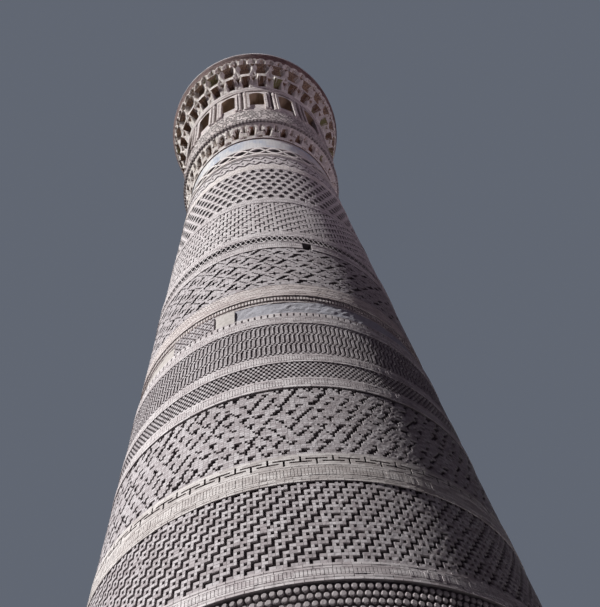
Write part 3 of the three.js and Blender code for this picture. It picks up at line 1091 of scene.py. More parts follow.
def make_key_band():
    band = Band("key_band", FILLET_SUNK)
    clay = brickwork("key_clay", "dressed", band, joint=0.001, painted_shade=0.95, recess=0.012)
    edges, levels = key_levels()
    angles = KEY_TURN + (np.arange(KEY_ROUND)[:, None] * 360 / KEY_ROUND + edges).ravel()
    angles = np.append(angles, angles[0] + 360)
    keys = relief(angles, band.at(KEY_ROWS), np.tile(levels, KEY_ROUND), [0.0, KEY_GROOVE], band.face,
                  band.inner, wobble=0.0004, seed=61)
    shapes = [plain_ring(band, CORE_SET_BACK, 0, KEY_START)]
    shapes += fillet_rows(band, KEY_COURSES, 60, 0.0, KEY_START)
    make_piece("key_band", "bricks", "dressed_brick", (clay, shapes + [keys]))


make_key_band()

# %% [markdown]
# In the widest band a pale ground is broken by dark stepped strokes. Wider ones climb to
# the right, one course and one half brick at a time, and thin ones fall back from their
# heads to the foot of the next. Their lengths change along the row, so the eye finds no
# plain repeat. A formula can't say that, so a stroke function carves them, two loops place
# them, and a seeded hand chooses each one's length.

# %% Stepped strokes
STROKE_STEPS = [1, 2, 3, 4]
CHANCES_OF_STEPS = [0.22, 0.38, 0.28, 0.12]
CHANCE_SLIPPED = 0.2
CHANCE_WIDER = 0.25
CHANCE_DOT = 0.7
CHANCE_FALLING = 0.5


def carve(levels, row, column, steps, wide, climb):
    """Sets back a stepped stroke. It starts at a row and column and climbs or falls."""
    rows, columns = levels.shape
    for step in range(steps):
        at = row + climb * step
        if 0 <= at < rows:
            levels[at, (column + step + np.arange(wide)) % columns] = 1


def stepped_strokes(rows=36, strokes=90, seed=6):
    levels = np.zeros((rows, strokes * 6), int)
    hand = shuffle(seed)
    for level in range(-1, rows // 4 + 1):
        for stroke in range(strokes):
            row = level * 4 + 1
            column = stroke * 6 + level % 2 * 3 + int(hand.random() < CHANCE_SLIPPED)
            steps = hand.choice(STROKE_STEPS, p=CHANCES_OF_STEPS)
            carve(levels, row, column, steps, 3 if hand.random() < CHANCE_WIDER else 2, 1)
            if hand.random() < CHANCE_DOT:
                carve(levels, row + 3, column + 4, 1, 1, 1)
            if hand.random() < CHANCE_FALLING:
                carve(levels, row + 1, column + 5, 2, 1, -1)
    levels[-1] = 1
    levels[0] = 0
    return levels


make_drum("meander_drum", stepped_strokes(), 23, turn=-2.0, painted_shade=0.75, shade_share=0.8)

# %% [markdown]
# A low band of plain chequers is the simplest rule of all: a cell is set back where its
# row and column add up to an odd number.

# %% Chequers
def chequers(rows=8, columns=480):
    row, column = grid(rows, columns)
    return (row + column) % 2


make_drum("checker_drum", chequers(), 24, DEEP * 0.35, bricks=1)

# %% [markdown]
# The next drum looks like ropes of S-shaped strokes in three tiers. Between the tiers two
# rows of chequers cross over, and the strokes stand half a step aside from them. The
# upright strokes are five courses high. They could be five equal rows, but one high row
# needs fewer faces and leaves no seams.

# %% Ropes
ROPE_TIERS = 3
ROPE_PITCH = 7
ROPE_EDGES = [tier * ROPE_PITCH + edge for tier in range(ROPE_TIERS + 1) for edge in range(3)]


def ropes(strokes=240):
    """Each tier has two single rows and one row as high as five, for the upright strokes."""
    row, column = grid(ROPE_TIERS * 3 + 2, strokes * 4)
    shift = np.array([2, 0, 1])[row % 3]
    return ((column - shift) % 4 < 2).astype(int)


make_drum("wave_drum", ropes(), 25, DEEP * 0.45, bricks=4, edges=ROPE_EDGES, painted_shade=0.65)

# %% [markdown]
# A fillet with a row of small slots closes the ropes, and above it the patterned face of
# one band is lost. Grey plaster fills the recess. A relief with a single level is enough
# for it, because its small wobble leaves the plaster as uneven as a hand does.

# %% Slotted fillet and old plaster
SLOTS_ROUND = 166
SLOT_STARTS = 0.72
SLOT_DEPTH = 0.03
SLOTS_FOOT = 0.62
SLOT_ROWS = [SLOTS_FOOT, 0.68, 0.95, 1.0]
PLASTER_COAT = 0.02 * METRE
PLASTER_CELLS = (6, 240)
PLASTER_WOBBLE = 0.002
PLASTER_LIGHT, PLASTER_DARK = paint(186, 186, 194), paint(156, 154, 160)
PLASTER_STAIN = paint(124, 120, 122)
WORN_PLASTER = paint(196, 189, 184)
WORN_FROM, WORN_TO = 39, 36


def make_dot_fillet():
    band = Band("dot_fillet", FILLET_SUNK)
    clay = brickwork("dot_clay", "fillet", band, joint=FILLET_JOINT, painted_shade=0.5)
    pitch = 360 / SLOTS_ROUND
    angles = (np.arange(SLOTS_ROUND)[:, None] * pitch + [0.0, pitch * SLOT_STARTS]).ravel()
    levels = np.zeros((3, SLOTS_ROUND * 2), int)
    levels[1, 1::2] = 1
    slots = relief(np.append(angles, 360.0), band.at(SLOT_ROWS), levels, [0.0, SLOT_DEPTH], band.face,
                   band.inner, seed=71)
    shapes = [plain_ring(band, CORE_SET_BACK, 0, SLOTS_FOOT)]
    shapes += fillet_rows(band, LOW_FILLET, 70, 0.0, SLOTS_FOOT)
    make_piece("dot_fillet", "bricks", "fillet_brick", (clay, shapes + [slots]))


def plaster_material():
    """Grey plaster with stains, and a paler worn stretch to the left of the slab."""
    material, tree, shader = principled("old_plaster")
    place = use_group(tree, PLACE)
    weather = use_group(tree, WEATHER)
    grey = mix(tree, fade(tree, weather["Clouds"], 0.3, 0.7), PLASTER_LIGHT, PLASTER_DARK)
    grey = lay_over(tree, grey, PLASTER_STAIN, fade(tree, weather["Blotches"], 0.5, 0.72), 0.35)
    old_part = fade(tree, place["Turns"], 0.5 - WORN_FROM / 360, 0.5 - WORN_TO / 360)
    join(tree, mix(tree, old_part, WORN_PLASTER, grey), shader.inputs["Base Color"])
    shader.inputs["Roughness"].default_value = 0.93
    height = calc(tree, "MULTIPLY_ADD", weather["Blotches"], 2.0, weather["Pits"])
    add_bump(tree, shader, height, 0.004, 0.7)
    return material


def make_plaster():
    band = Band("plaster_drum", -PLASTER_COAT)
    shape = even_relief(band, np.zeros(PLASTER_CELLS, int), [0.0], 72, wobble=PLASTER_WOBBLE)
    make_piece("plaster_drum", "coat", "plaster", (plaster_material(), [shape]))


make_dot_fillet()
make_plaster()

# %% [markdown]
# A pale slab stands in the plaster, and a stretch of the old fine mosaic is left at the far
# side. Both follow the curve of the wall. A flat slab with a bend modifier would do it
# too, but the frame already says where their corners are, so boxes are set side by side
# between those corners, and the faces that two boxes share are taken out.

# %% Slab and mosaic
MOSAIC_CELL = 0.8
SLAB_CELLS = (4, 8)
SLAB_LIGHT, SLAB_DARK = paint(196, 189, 184), paint(172, 164, 158)
SLAB_PITS = paint(150, 140, 130)


def inset_box(node):
    """Angles, heights and radii of a slab that follows the curve of the wall."""
    corners = np.array([corner.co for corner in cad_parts[node].data.vertices])
    angle = np.degrees(np.arctan2(corners[:, 0], -corners[:, 1]))
    radius = np.hypot(corners[:, 0], corners[:, 1])
    return angle.min(), angle.max(), corners[:, 2].min(), corners[:, 2].max(), radius.min(), radius.max()


def closed_slab(node, levels, depths):
    """A curved slab with its edges closed, from a grid of cells."""
    rows, columns = levels.shape
    left, right, bottom, top, back, front = inset_box(node)
    angles = np.linspace(left, right, columns + 1)
    heights = np.linspace(bottom, top, rows + 1)
    shape = bmesh.new()
    for row in range(rows):
        for column in range(columns):
            near = front - depths[levels[row, column]]
            corners = [
                on_wall(angles[column + side], heights[row + rise], radius)
                for rise in (0, 1) for radius in (near, back) for side in (0, 1)
            ]
            made = [shape.verts.new(corner) for corner in corners]
            for face in BOX_FACES:
                shape.faces.new([made[index] for index in face])
    bmesh.ops.remove_doubles(shape, verts=shape.verts, dist=0.00002)
    shape.verts.index_update()
    seen = {}
    for face in shape.faces:
        seen.setdefault(frozenset(corner.index for corner in face.verts), []).append(face)
    inner = [face for same in seen.values() if len(same) > 1 for face in same]
    bmesh.ops.delete(shape, geom=inner, context="FACES")
    shape.verts.index_update()
    points = np.array([corner.co for corner in shape.verts])
    faces = np.array([[corner.index for corner in face.verts] for face in shape.faces])
    shape.free()
    return points, [faces]


def pale_stone():
    material, tree, shader = principled("pale_stone")
    weather = use_group(tree, WEATHER)
    colour = mix(tree, fade(tree, weather["Blotches"], 0.35, 0.75), SLAB_LIGHT, SLAB_DARK)
    colour = lay_over(tree, colour, SLAB_PITS, weather["Pits"], 0.2)
    join(tree, colour, shader.inputs["Base Color"])
    shader.inputs["Roughness"].default_value = 0.72
    add_bump(tree, shader, calc(tree, "ADD", weather["Blotches"], weather["Pits"]), BRICK_BUMP / 2)
    return material


def make_insets():
    slab = closed_slab("pale_slab", np.zeros(SLAB_CELLS, int), [0.0])
    make_piece("pale_slab", "stone", "pale_stone", (pale_stone(), [slab]))
    left, right, bottom, top, _, _ = inset_box("mosaic_panel")
    rows = round((top - bottom) / COURSE)
    row, column = grid(rows, round((right - left) / MOSAIC_CELL))
    levels = (((row + column) % 4 == 0) | ((row - column) % 4 == 2) & (row % 2 == 0)).astype(int)
    clay = brickwork("mosaic_clay", "brick", Band("plaster_drum"), rows, round(360 / MOSAIC_CELL),
                     joint=0.002, painted_shade=0.0)
    panel = closed_slab("mosaic_panel", levels, [0.0, 0.02])
    make_piece("mosaic_panel", "bricks", "brick", (clay, [panel]))


make_insets()

# %% [markdown]
# Over the plaster a ledge throws a line of shadow. It carries a row of small blocks and
# then leaning bricks, set to the right and to the left in turn, like a fishbone. Its foot
# and its blocks lie deeper than the leaning bricks, as they do on the wall. Leaning is one
# more number in the row of loose bricks, so nothing new has to be modelled.

# %% Ledge and fishbone
LEDGE_BLOCKS = 308
BLOCK_JOINT = 0.012
FISHBONE_ROUND = 300
FISHBONE_LEAN = 1.0
FISHBONE_TIERS = 4
FISHBONE_FOOT = 0.43
FISHBONE_RISE = 0.14
LEDGE_SUNK = 0.075 * METRE
LEDGE_FOOT_SUNK = 0.10 * METRE
LEDGE_HEAD_SUNK = 0.05 * METRE


def make_ledge():
    sinks = (LEDGE_FOOT_SUNK, LEDGE_SUNK, LEDGE_HEAD_SUNK)
    base, band, head = (Band("ledge_fillet", sunk) for sunk in sinks)
    clay = brickwork("ledge_clay", "lantern", band, joint=FILLET_JOINT, painted_shade=0.6)
    shapes = [plain_ring(base, CORE_SET_BACK, 0.0, 0.13), plain_ring(band, 0.022, 0.13)]
    shapes += fillet_rows(base, [THIN], 80, 0.0, 0.12)
    shapes.append(brick_row(band, band.at(0.14), band.at(0.30), LEDGE_BLOCKS, BLOCK_JOINT, 0.03, 82))
    shapes += fillet_rows(head, [THIN], 84, 0.32, 0.42)
    for tier in range(FISHBONE_TIERS):
        low, high = (band.at(FISHBONE_FOOT + FISHBONE_RISE * edge) for edge in (tier, tier + 1))
        lean = FISHBONE_LEAN if tier % 2 == 0 else -FISHBONE_LEAN
        shapes.append(brick_row(head, low + JOINT / 2, high - JOINT / 2, FISHBONE_ROUND, JOINT, 0.045,
                                85 + tier, -lean / 2, lean))
    make_piece("ledge_fillet", "bricks", "fillet_brick", (clay, shapes))


make_ledge()

# %% [markdown]
# The lattice drum is a net of diamonds. The sides that climb are thick strokes, long and
# short in turn; the sides that fall are thin; and every diamond holds a small cross. The
# strokes are carved by the function that the widest band uses, one diamond at a time.

# %% Lattice
CROSS = ((0, 0), (1, 0), (-1, 0), (0, 1), (0, -1), (0, 2), (0, -2), (0, 5), (0, 7))
CHANCE_SHORTER = 0.15
CHANCE_WIDER_STROKE = 0.6


def lattice(rows=40, meshes=36, seed=7):
    """Every cross has a thick stroke at its upper left, and a thin one falls from its head."""
    columns = meshes * 12
    levels = np.zeros((rows, columns), int)
    hand = shuffle(seed)
    for level in range(-2, rows // 7 + 2):
        for mesh in range(meshes):
            row = level * 7 + 4
            column = mesh * 12 + level % 2 * 6 + 6
            slip = int(hand.random() < CHANCE_SHORTER)
            high = (mesh + level // 2) % 2 == 0
            if level % 2:
                wide = 2 + (hand.random() < CHANCE_WIDER_STROKE)
                carve(levels, row + 3 * high, column - 7 + 3 * high, 5 - slip, wide, 1)
                carve(levels, row + 4 + 2 * high, column + 2, 5 - high, 1, -1)
            else:
                carve(levels, row + 1 + 2 * high, column - 5, 4 - slip, 3, 1)
                carve(levels, row + 5 + high, column + 2, 4 - slip, 1, -1)
            for rise, side in CROSS:
                if 0 <= row + rise < rows:
                    levels[row + rise, (column + side) % columns] = 1
    levels[0] = 0
    return levels


make_drum("lattice_drum", lattice(), 26, turn=-8.9, painted_shade=0.88, shade_share=0.3)

# %% [markdown]
# The small window breaks through the next fillet. Its hole is cut right through the wall.
# A boolean would be slow and untidy on hundreds of loose bricks, so only the plain core is
# cut. The bricks are shortened to the hole's edge, or left out where they lie inside it.

# %% Window fillet
WINDOW_ANGLE = 17
WINDOW_WIDTH = 0.25 * METRE
PAST_THE_BAND = 0.05


def leave_hole(shape, angle, half):
    """Takes out of a brick row what lies within half a width, in degrees, of an angle."""
    points = shape[0]
    turn = (np.degrees(np.arctan2(points[:, 0], -points[:, 1])) - angle).reshape(-1, 8)
    inside = abs(turn) < half
    side = np.sign(turn.mean(axis=1, keepdims=True))
    turn = np.where(inside, side * half, turn)
    radius = np.hypot(points[:, 0], points[:, 1])
    kept = ~inside.all(axis=1)
    points = on_wall(turn.ravel() + angle, points[:, 2], radius).reshape(-1, 8, 3)[kept]
    return points.reshape(-1, 3), box_faces(len(points))


def make_window_fillet():
    band = Band("window_fillet", FILLET_SUNK)
    clay = fillet_clay(band, "fillet")
    core = make_piece("window_fillet", "core", "fillet_brick", (clay, [plain_ring(band, CORE_SET_BACK)]))
    half = WINDOW_WIDTH / 2
    low, high = band.bottom - PAST_THE_BAND, band.top + PAST_THE_BAND
    cut(core, band, [(-half, low), (-half, high), (half, high), (half, low)], WINDOW_ANGLE)
    half_turn = math.degrees(half / band.low)
    rows = fillet_rows(band, [THIN, THIN, ON_END, THIN], 90)
    bricks = [leave_hole(shape, WINDOW_ANGLE, half_turn) for shape in rows]
    make_piece("window_fillet", "bricks", "fillet_brick", (clay, bricks))


make_window_fillet()

# %% [markdown]
# Two bands carry a guilloche, two strands that wind over and under each other. A strand
# is a raised ribbon whose middle line is a sine wave; the second is the first turned by half
# a wave. A curve with a bevel could be bent the same way, but a ribbon made from arrays
# keeps square edges, which hold the shadow. The wide band near the top has thirty eyes, the
# narrow one many more.

# %% Strands
def strand(band, low, high, eyes, width, phase, set_back, steps):
    """A wavy raised ribbon round the band, between two shares of its height."""
    count = eyes * steps // 2
    angle = np.arange(count) * 360 / count
    middle = band.at((low + high) / 2)
    swing = (band.at(high) - band.at(low) - width) / 2
    wave = middle + swing * np.sin(np.radians(angle * eyes / 2 + phase))
    corners = []
    for lift, drop in ((-1, set_back), (-1, 0.0), (1, 0.0), (1, set_back)):
        height = wave + lift * width / 2
        corners.append(on_wall(angle, height, band.face(height) - drop))
    side = np.arange(count)
    beside = (side + 1) % count
    faces = [quads(side, beside, beside + count, side + count) + line * count for line in range(3)]
    return np.concatenate(corners), [np.concatenate(faces)]


def guilloche(band, low, high, eyes, width, set_back, turn=0.0, steps=24):
    """A sunken ground with two strands on it, which cross between the eyes."""
    strands = [strand(band, low, high, eyes, width, phase + turn * eyes / 2, set_back, steps)
               for phase in (0, 180)]
    return [plain_ring(band, set_back, low, high)] + strands


# %% The two guilloche bands
NARROW_EYES = 156
NARROW_STRAND = 0.05 * METRE
NARROW_DEPTH = 0.024
NARROW_FOOT, NARROW_HEAD = 0.07, 0.55
WIDE_EYES = 30
WIDE_STRAND = 0.15 * METRE
WIDE_DEPTH = 0.055
WIDE_TURN = 6
GROOVE_DEPTH = 0.05
WIDE_EDGES = [0.0, 0.03, 0.16, 0.27, 0.96, 1.0]


def make_guilloche_band():
    band = Band("guilloche_band")
    clay = brickwork("guilloche_clay", "fillet", band, joint=0.001, recess=0.012, painted_shade=0.8)
    foot, head = NARROW_FOOT, NARROW_HEAD
    shapes = fillet_rows(band, [THIN], 100, 0, foot)
    shapes += guilloche(band, foot, head, NARROW_EYES, NARROW_STRAND, NARROW_DEPTH, steps=12)
    shapes.append(plain_ring(band, CORE_SET_BACK, head, 1.0))
    shapes += fillet_rows(band, HIGH_FILLET, 101, head, 1.0)
    shapes.append(plain_ring(band, CORE_SET_BACK, 0, foot))
    make_piece("guilloche_band", "bricks", "dressed_brick", (clay, shapes))


def make_dotted_band():
    """A groove between two plain strips, the wide guilloche, and a plain strip above."""
    band = Band("dotted_band")
    clay = brickwork("dotted_clay", "pale", band, joint=0.001, painted_shade=0.85)
    edges = list(zip(WIDE_EDGES, WIDE_EDGES[1:]))
    shapes = [plain_ring(band, depth, *ends) for depth, ends in zip((0.0, GROOVE_DEPTH, 0.0), edges)]
    shapes += guilloche(band, *edges[3], WIDE_EYES, WIDE_STRAND, WIDE_DEPTH, WIDE_TURN)
    shapes.append(plain_ring(band, 0.0, *edges[4]))
    make_piece("dotted_band", "bricks", "dressed_brick", (clay, shapes))


make_guilloche_band()
make_dotted_band()

# %% [markdown]
# The braid is woven from short upright bricks. Every pair of columns starts two courses
# higher than the one to its left, so the gaps run up the wall as stairs. The rule leaves
# out a gap here and there by chance, where rain has filled it. The columns of bricks are
# made wider than the slots between them.

# %% Braid
GAPS_KEPT = 0.75
SLOTS_KEPT = 0.9


def braid(rows=42, columns=175, seed=8):
    row, column = grid(rows, columns * 2)
    step = (row - column // 2 * 2) % 7
    upright = column % 2 == 0
    kept = shuffle(seed).random((rows, columns * 2))
    gap = (step == 0) & (kept < GAPS_KEPT)
    slot = (step != 3) & (step != 4) & (kept < SLOTS_KEPT)
    return np.where(upright, gap, slot).astype(int)


make_drum("braid_drum", braid(), 27, DEEP * 0.65, clay="fillet", painted_shade=0.9, shade_share=0.45, widened=0.3)

# %% [markdown]
# The highest drum is pierced by stepped lozenges, in rows that stand between each other,
# so that what is left of the face makes a net of slanting bars. Seven widths describe a
# lozenge, from its lowest course to its highest.

# %% Lozenges
LOZENGE = (1, 3, 3, 5, 3, 3, 1)


def lozenges(tiers=8, lozenges_round=62):
    rows = tiers * len(LOZENGE)
    columns = lozenges_round * 6
    levels = np.zeros((rows, columns), int)
    for tier in range(-1, tiers + 1):
        for lozenge in range(lozenges_round):
            column = lozenge * 6 + tier % 2 * 3
            for step, wide in enumerate(LOZENGE):
                row = tier * len(LOZENGE) + step
                if 0 < row < rows:
                    levels[row, (column + 3 + np.arange(wide) - wide // 2) % columns] = 1
    return levels


make_drum("diamond_drum", lozenges(), 28, DEEP * 0.75, turn=1.5, clay="fillet")

# %% [markdown]
# Two zigzags face each other across a row of small lozenges. Their rising sides are two
# cells thick and their falling sides one. A zigzag is a line, so the rule asks how far each
# cell lies from that line, which is shorter to write than a list of cells.

# %% Zigzags
ZIGZAG_COLUMNS = 12
ZIGZAG_DEPTH = 0.04
THICK_STROKE = 1.9
THIN_STROKE = 1.15
LOWER_ZIGZAG = {"valley": 0, "peak": 4.6, "low": 1.2, "high": 6.0}
UPPER_ZIGZAG = {"valley": 5.9, "peak": 10.4, "low": 11.7, "high": 17.0}
DOT_ROW = 8
DOT_COLUMN = 9.5


def zigzag_line(row, column, valley, peak, low, high):
    """Cells on a line that climbs quickly from a valley and falls slowly from a peak."""
    along = (column + 0.5 - valley) % ZIGZAG_COLUMNS
    climb = peak - valley
    share = np.where(along < climb, along / climb, (ZIGZAG_COLUMNS - along) / (ZIGZAG_COLUMNS - climb))
    reach = np.where(along < climb, THICK_STROKE, THIN_STROKE)
    return abs(row + 0.5 - low - (high - low) * share) < reach


def zigzags(rows=20, waves=48):
    row, column = grid(rows, waves * ZIGZAG_COLUMNS)
    lower = zigzag_line(row, column, **LOWER_ZIGZAG)
    upper = zigzag_line(row, column, **UPPER_ZIGZAG)
    dots = (abs(row - DOT_ROW) <= 1) & (abs(column % ZIGZAG_COLUMNS - DOT_COLUMN) < 1)
    return (lower | upper | dots).astype(int)


make_drum("zigzag_band", zigzags(), 29, ZIGZAG_DEPTH, turn=-1.5, clay="fillet", bricks=4, painted_shade=0.95)

# %% [markdown]
# A broad band of glazed tiles runs under the lower cornice. The glaze is a pale worn blue
# that turns deeper where it has kept its gloss. No letters are drawn on it. The tiles are
# shallow upright blocks. The material gives them a thin clear coat with dull patches, which
# shows wear more truly than a change of colour alone.

# %% Glazed tiles
TILES_ROUND = 150
TILE_ROWS = 4
TILE_WOBBLE = 0.0012
GLAZE_LIGHT, GLAZE_DARK = paint(212, 220, 232), paint(176, 192, 218)
FADED_GLAZE = paint(244, 242, 241)
WORN_GLAZE = paint(198, 190, 184)
TILE_JOINT = paint(180, 174, 172)


def glaze():
    material, tree, shader = principled("worn_blue_glaze")
    laid = use_group(tree, BRICKS, Bottom=neck.bottom, Course=(neck.top - neck.bottom) / TILE_ROWS,
                     Bricks_Round=float(TILES_ROUND), Joint=0.004, Shift=0.0)
    weather = weather_on(tree, neck)
    blue = mix(tree, laid["Tint"], GLAZE_LIGHT, GLAZE_DARK)
    colour = lay_over(tree, blue, FADED_GLAZE, fade(tree, weather["Clouds"], 0.36, 0.52), 0.9)
    worn = fade(tree, weather["Blotches"], 0.56, 0.7)
    colour = lay_over(tree, colour, WORN_GLAZE, worn, 0.6)
    colour = lay_over(tree, colour, TILE_JOINT, laid["Joint"], 0.35)
    join(tree, colour, shader.inputs["Base Color"])
    rough = calc(tree, "MULTIPLY_ADD", worn, 0.45, 0.28)
    join(tree, calc(tree, "MAXIMUM", rough, laid["Joint"]), shader.inputs["Roughness"])
    join(tree, times(tree, calc(tree, "SUBTRACT", 1.0, worn), 0.5), shader.inputs["Coat Weight"])
    add_bump(tree, shader, calc(tree, "SUBTRACT", times(tree, weather["Blotches"], 0.5), laid["Joint"]))
    return material


def make_glazed_band():
    shape = even_relief(neck, np.zeros((TILE_ROWS, TILES_ROUND), int), [0.0], 30, wobble=TILE_WOBBLE)
    make_piece("glazed_band", "tiles", "glazed_tile", (glaze(), [shape]))


make_glazed_band()

# %% [markdown]
# The cornices are muqarnas, honeycombs of small cells, tier over tier, each a little wider
# than the one below. Every cell could be a model of its own, set in place by a loop, but
# hundreds of them would have to meet without gaps. So a cell is drawn as a polygon on the
# wall, in degrees and metres, and the wall is pressed in inside it: not at all at its edge,
# where a sharp rib stays, and most in its middle. How wide the slope between the two is
# makes its walls steep or soft. One drawing of twelve degrees is repeated round the tower,
# and every copy is pressed a little more or less, because frost and rain have worn them.

# %% Carved tiers
CELLS_ROUND = 30
CELL = 360 / CELLS_ROUND
RIB_WIDTH = 0.09 * METRE
RIB_FALL = 0.03 * METRE
CELL_SLIP = 0.35
CELL_LIFT = 0.02
CELL_WORN = (0.75, 1.15)
WORN_FACE = 0.002


def inside_distance(corners, across, height):
    """How far points lie inside a polygon whose corners run round to the left."""
    nearest = np.inf
    for (x0, y0), (x1, y1) in zip(corners, corners[1:] + corners[:1]):
        length = math.hypot(x1 - x0, y1 - y0)
        off = ((x1 - x0) * (height - y0) - (y1 - y0) * (across - x0)) / length
        nearest = np.minimum(nearest, off)
    return nearest


def pressed_in(cells, angle, height, radius, hand, ground):
    """How deep the wall is pressed in at angles and heights, by cells that repeat round it.
    The ground between cells can be pressed in a little too, so that a rib stands round each."""
    depth = np.zeros(np.broadcast(angle, height).shape)
    nearest = np.full(depth.shape, -np.inf)
    metres = math.radians(1) * radius
    for corners, deep, soft in cells:
        middle = sum(corner[0] for corner in corners) / len(corners)
        copy = np.floor((angle - middle) / CELL + 0.5).astype(int) % CELLS_ROUND
        across = (angle - middle + CELL / 2) % CELL - CELL / 2 + middle
        slip = hand.uniform(-CELL_SLIP, CELL_SLIP, CELLS_ROUND)[copy]
        lift = hand.uniform(-CELL_LIFT, CELL_LIFT, CELLS_ROUND)[copy] * METRE
        outline = [(x * metres, y * METRE) for x, y in corners]
        inside = inside_distance(outline, (across + slip) * metres, height + lift)
        bowl = np.clip(inside / (soft * METRE), 0, 1)
        depth = np.maximum(depth, bowl * deep * METRE * hand.uniform(*CELL_WORN, CELLS_ROUND)[copy])
        nearest = np.maximum(nearest, inside)
    return np.maximum(depth, np.clip((-nearest - RIB_WIDTH) / RIB_FALL, 0, 1) * ground)


def carved_tier(band, carve_in, turn, columns, rows, seed):
    """A closed ring whose face is pressed in by a function of angle, height and chance."""
    hand = shuffle(seed)
    count = columns * CELLS_ROUND
    angle = np.arange(count)[None, :] * 360 / count - CELL / 2
    height = band.at(np.linspace(0, 1, rows + 1))[:, None]
    depth = carve_in(angle, height, band.low, hand)
    worn = hand.normal(0, WORN_FACE, (3, rows + 1, count))
    inside = np.pad(np.ones((rows - 1, 1)), ((1, 1), (0, 0)))
    radius = band.face(height) - depth + worn[0]
    turned_angle = turn + angle + np.degrees(worn[1] / band.low)
    outer = on_wall(turned_angle, height + worn[2] * inside, radius).reshape(-1, 3)
    inner = [on_wall(turn + angle[0], end, band.inner) for end in (band.bottom, band.top)]
    row, side = np.mgrid[:rows, :count]
    low, beside = row * count, (side + 1) % count
    front = quads(low + side, low + beside, low + count + beside, low + count + side)
    side = np.arange(count)
    beside = (side + 1) % count
    top = rows * count
    inner_low, inner_high = top + count, top + 2 * count
    return np.concatenate([outer] + inner), [
        front,
        quads(beside, side, inner_low + side, inner_low + beside),
        quads(top + side, top + beside, inner_high + beside, inner_high + side),
        quads(inner_low + beside, inner_low + side, inner_high + side, inner_high + beside),
    ]


print("one drawing of cells spans", CELL, "degrees")

# %% [markdown]
# The ribs of the cornices are pale, and the cells between them are brown, partly stained and
# partly painted shade. Here and there a cell keeps a trace of green or orange glaze. The brown
# needs no mask by hand: how far a point lies behind the ribs and which way it faces say where
# it goes. Floors are stained brown, soffits and the deep parts of side walls are brown as
# painted shade, the rest of the side walls are pale, and the faces over a tier's ledge lie
# between.

# %% Stained cells
LEDGE_SHARE = 0.22
FACE_STAIN = 0.2
# Grey for the sunk ground between cells: partly stain, partly painted shade.
GROUND_STAIN_AND_SHADE = paint(152, 136, 128)
GREEN_GLAZE, ORANGE_GLAZE = paint(150, 160, 96), paint(200, 116, 66)
RAIN_STAIN = paint(132, 108, 92)


def stained_clay(name, band, deep, stains_and_shade, ground, walls):
    """Pale ledges and side walls, stained brown floors, brown soffits as painted shade, and rib
    faces between. walls says how far the side walls turn brown as painted shade from the
    middle of the depth on."""
    material, tree, shader = principled(name)
    laid = use_group(tree, BRICKS, Bottom=band.bottom, Course=COURSE,
                     Bricks_Round=float(bricks_round(band, HEADER)), Joint=0.003)
    weather, facing = weather_on(tree, band), use_group(tree, FACING)
    floors = fade(tree, facing["Sideways"], 0.7, 0.35)
    soffits = fade(tree, calc(tree, "ADD", facing["Sideways"], facing["Outward"]), 0.6, 0.4)

    colour = mix(tree, laid["Tint"], *CLAYS["corbel"])
    ledge = band.at([LEDGE_SHARE - 0.03, LEDGE_SHARE + 0.05]).tolist()
    above = fade(tree, use_group(tree, PLACE)["Height"], *ledge)
    colour = mix(tree, times(tree, times(tree, above, FACE_STAIN), floors), colour, stains_and_shade[0])
    # The sunk ground between cells turns grey, partly as stain and partly as painted shade.
    if ground:
        sunk = times(tree, fade(tree, weather["Behind"], ground * 0.3, ground), floors)
        colour = lay_over(tree, colour, GROUND_STAIN_AND_SHADE, sunk, 0.7)

    brown = mix(tree, fade(tree, weather["Blotches"], 0.35, 0.65), *stains_and_shade)
    glazed = fade(tree, weather["Clouds"], 0.60, 0.66)
    brown = lay_over(tree, brown, GREEN_GLAZE, glazed, 0.5)
    brown = lay_over(tree, brown, ORANGE_GLAZE, fade(tree, weather["Clouds"], 0.34, 0.29), 0.5)
    # Floors behind the ribs are stained brown. Deep side walls and every soffit take the same brown as
    # painted shade.
    share = times(tree, fade(tree, weather["Behind"], deep * 0.05, deep * 0.25), floors)
    behind = times(tree, fade(tree, weather["Behind"], deep * 0.35, deep * 0.65), walls)
    share = calc(tree, "MAXIMUM", calc(tree, "MAXIMUM", share, behind), soffits)
    colour = mix(tree, share, colour, brown)
    colour = lay_over(tree, colour, RAIN_STAIN, fade(tree, weather["Blotches"], 0.58, 0.78), 0.25)
    colour = lay_over(tree, colour, MORTAR, laid["Joint"], 0.2)
    join(tree, colour, shader.inputs["Base Color"])
    join(tree, calc(tree, "MULTIPLY_ADD", glazed, -0.3, CLAY_ROUGHNESS), shader.inputs["Roughness"])
    add_bump(tree, shader, calc(tree, "SUBTRACT", times(tree, weather["Pits"], 0.5), laid["Joint"]))
    return material


# %% [markdown]
# The upper cornice has three tiers. At its foot stand deep dark niches with a small hanging
# triangle between two of them. In the middle tier each niche is crowned by a ledge, from
# whose ends ribs spread and close again over a wide shallow cell. The topmost tier is a row
# of sixty small pendants with edges like a folded paper. A cell is listed as its corners in
# degrees and metres, its depth, and the width of the slope round it. Pressing in can't make
# a face stand upright on a wall that leans out, so the cup over each niche is set apart:
# there the face keeps one radius, and light falls on it as on the real one.

# %% Tiers of a cornice
GROUND_DEPTH = 0.07 * METRE
# Browns for stained floors, which also stand as painted shade in soffits and deep niches.
DARK_STAINS_AND_SHADE = (paint(134, 106, 84), paint(92, 69, 55))
BROWN_STAINS_AND_SHADE = (paint(170, 144, 118), paint(112, 90, 76))
CUP_MIDDLE = 0.4
CUP_REACH = 3.3
CUP_FOOT = 42.76 * METRE
CUP_HEAD = 43.32 * METRE
CUP_RADIUS = 3.89 * METRE


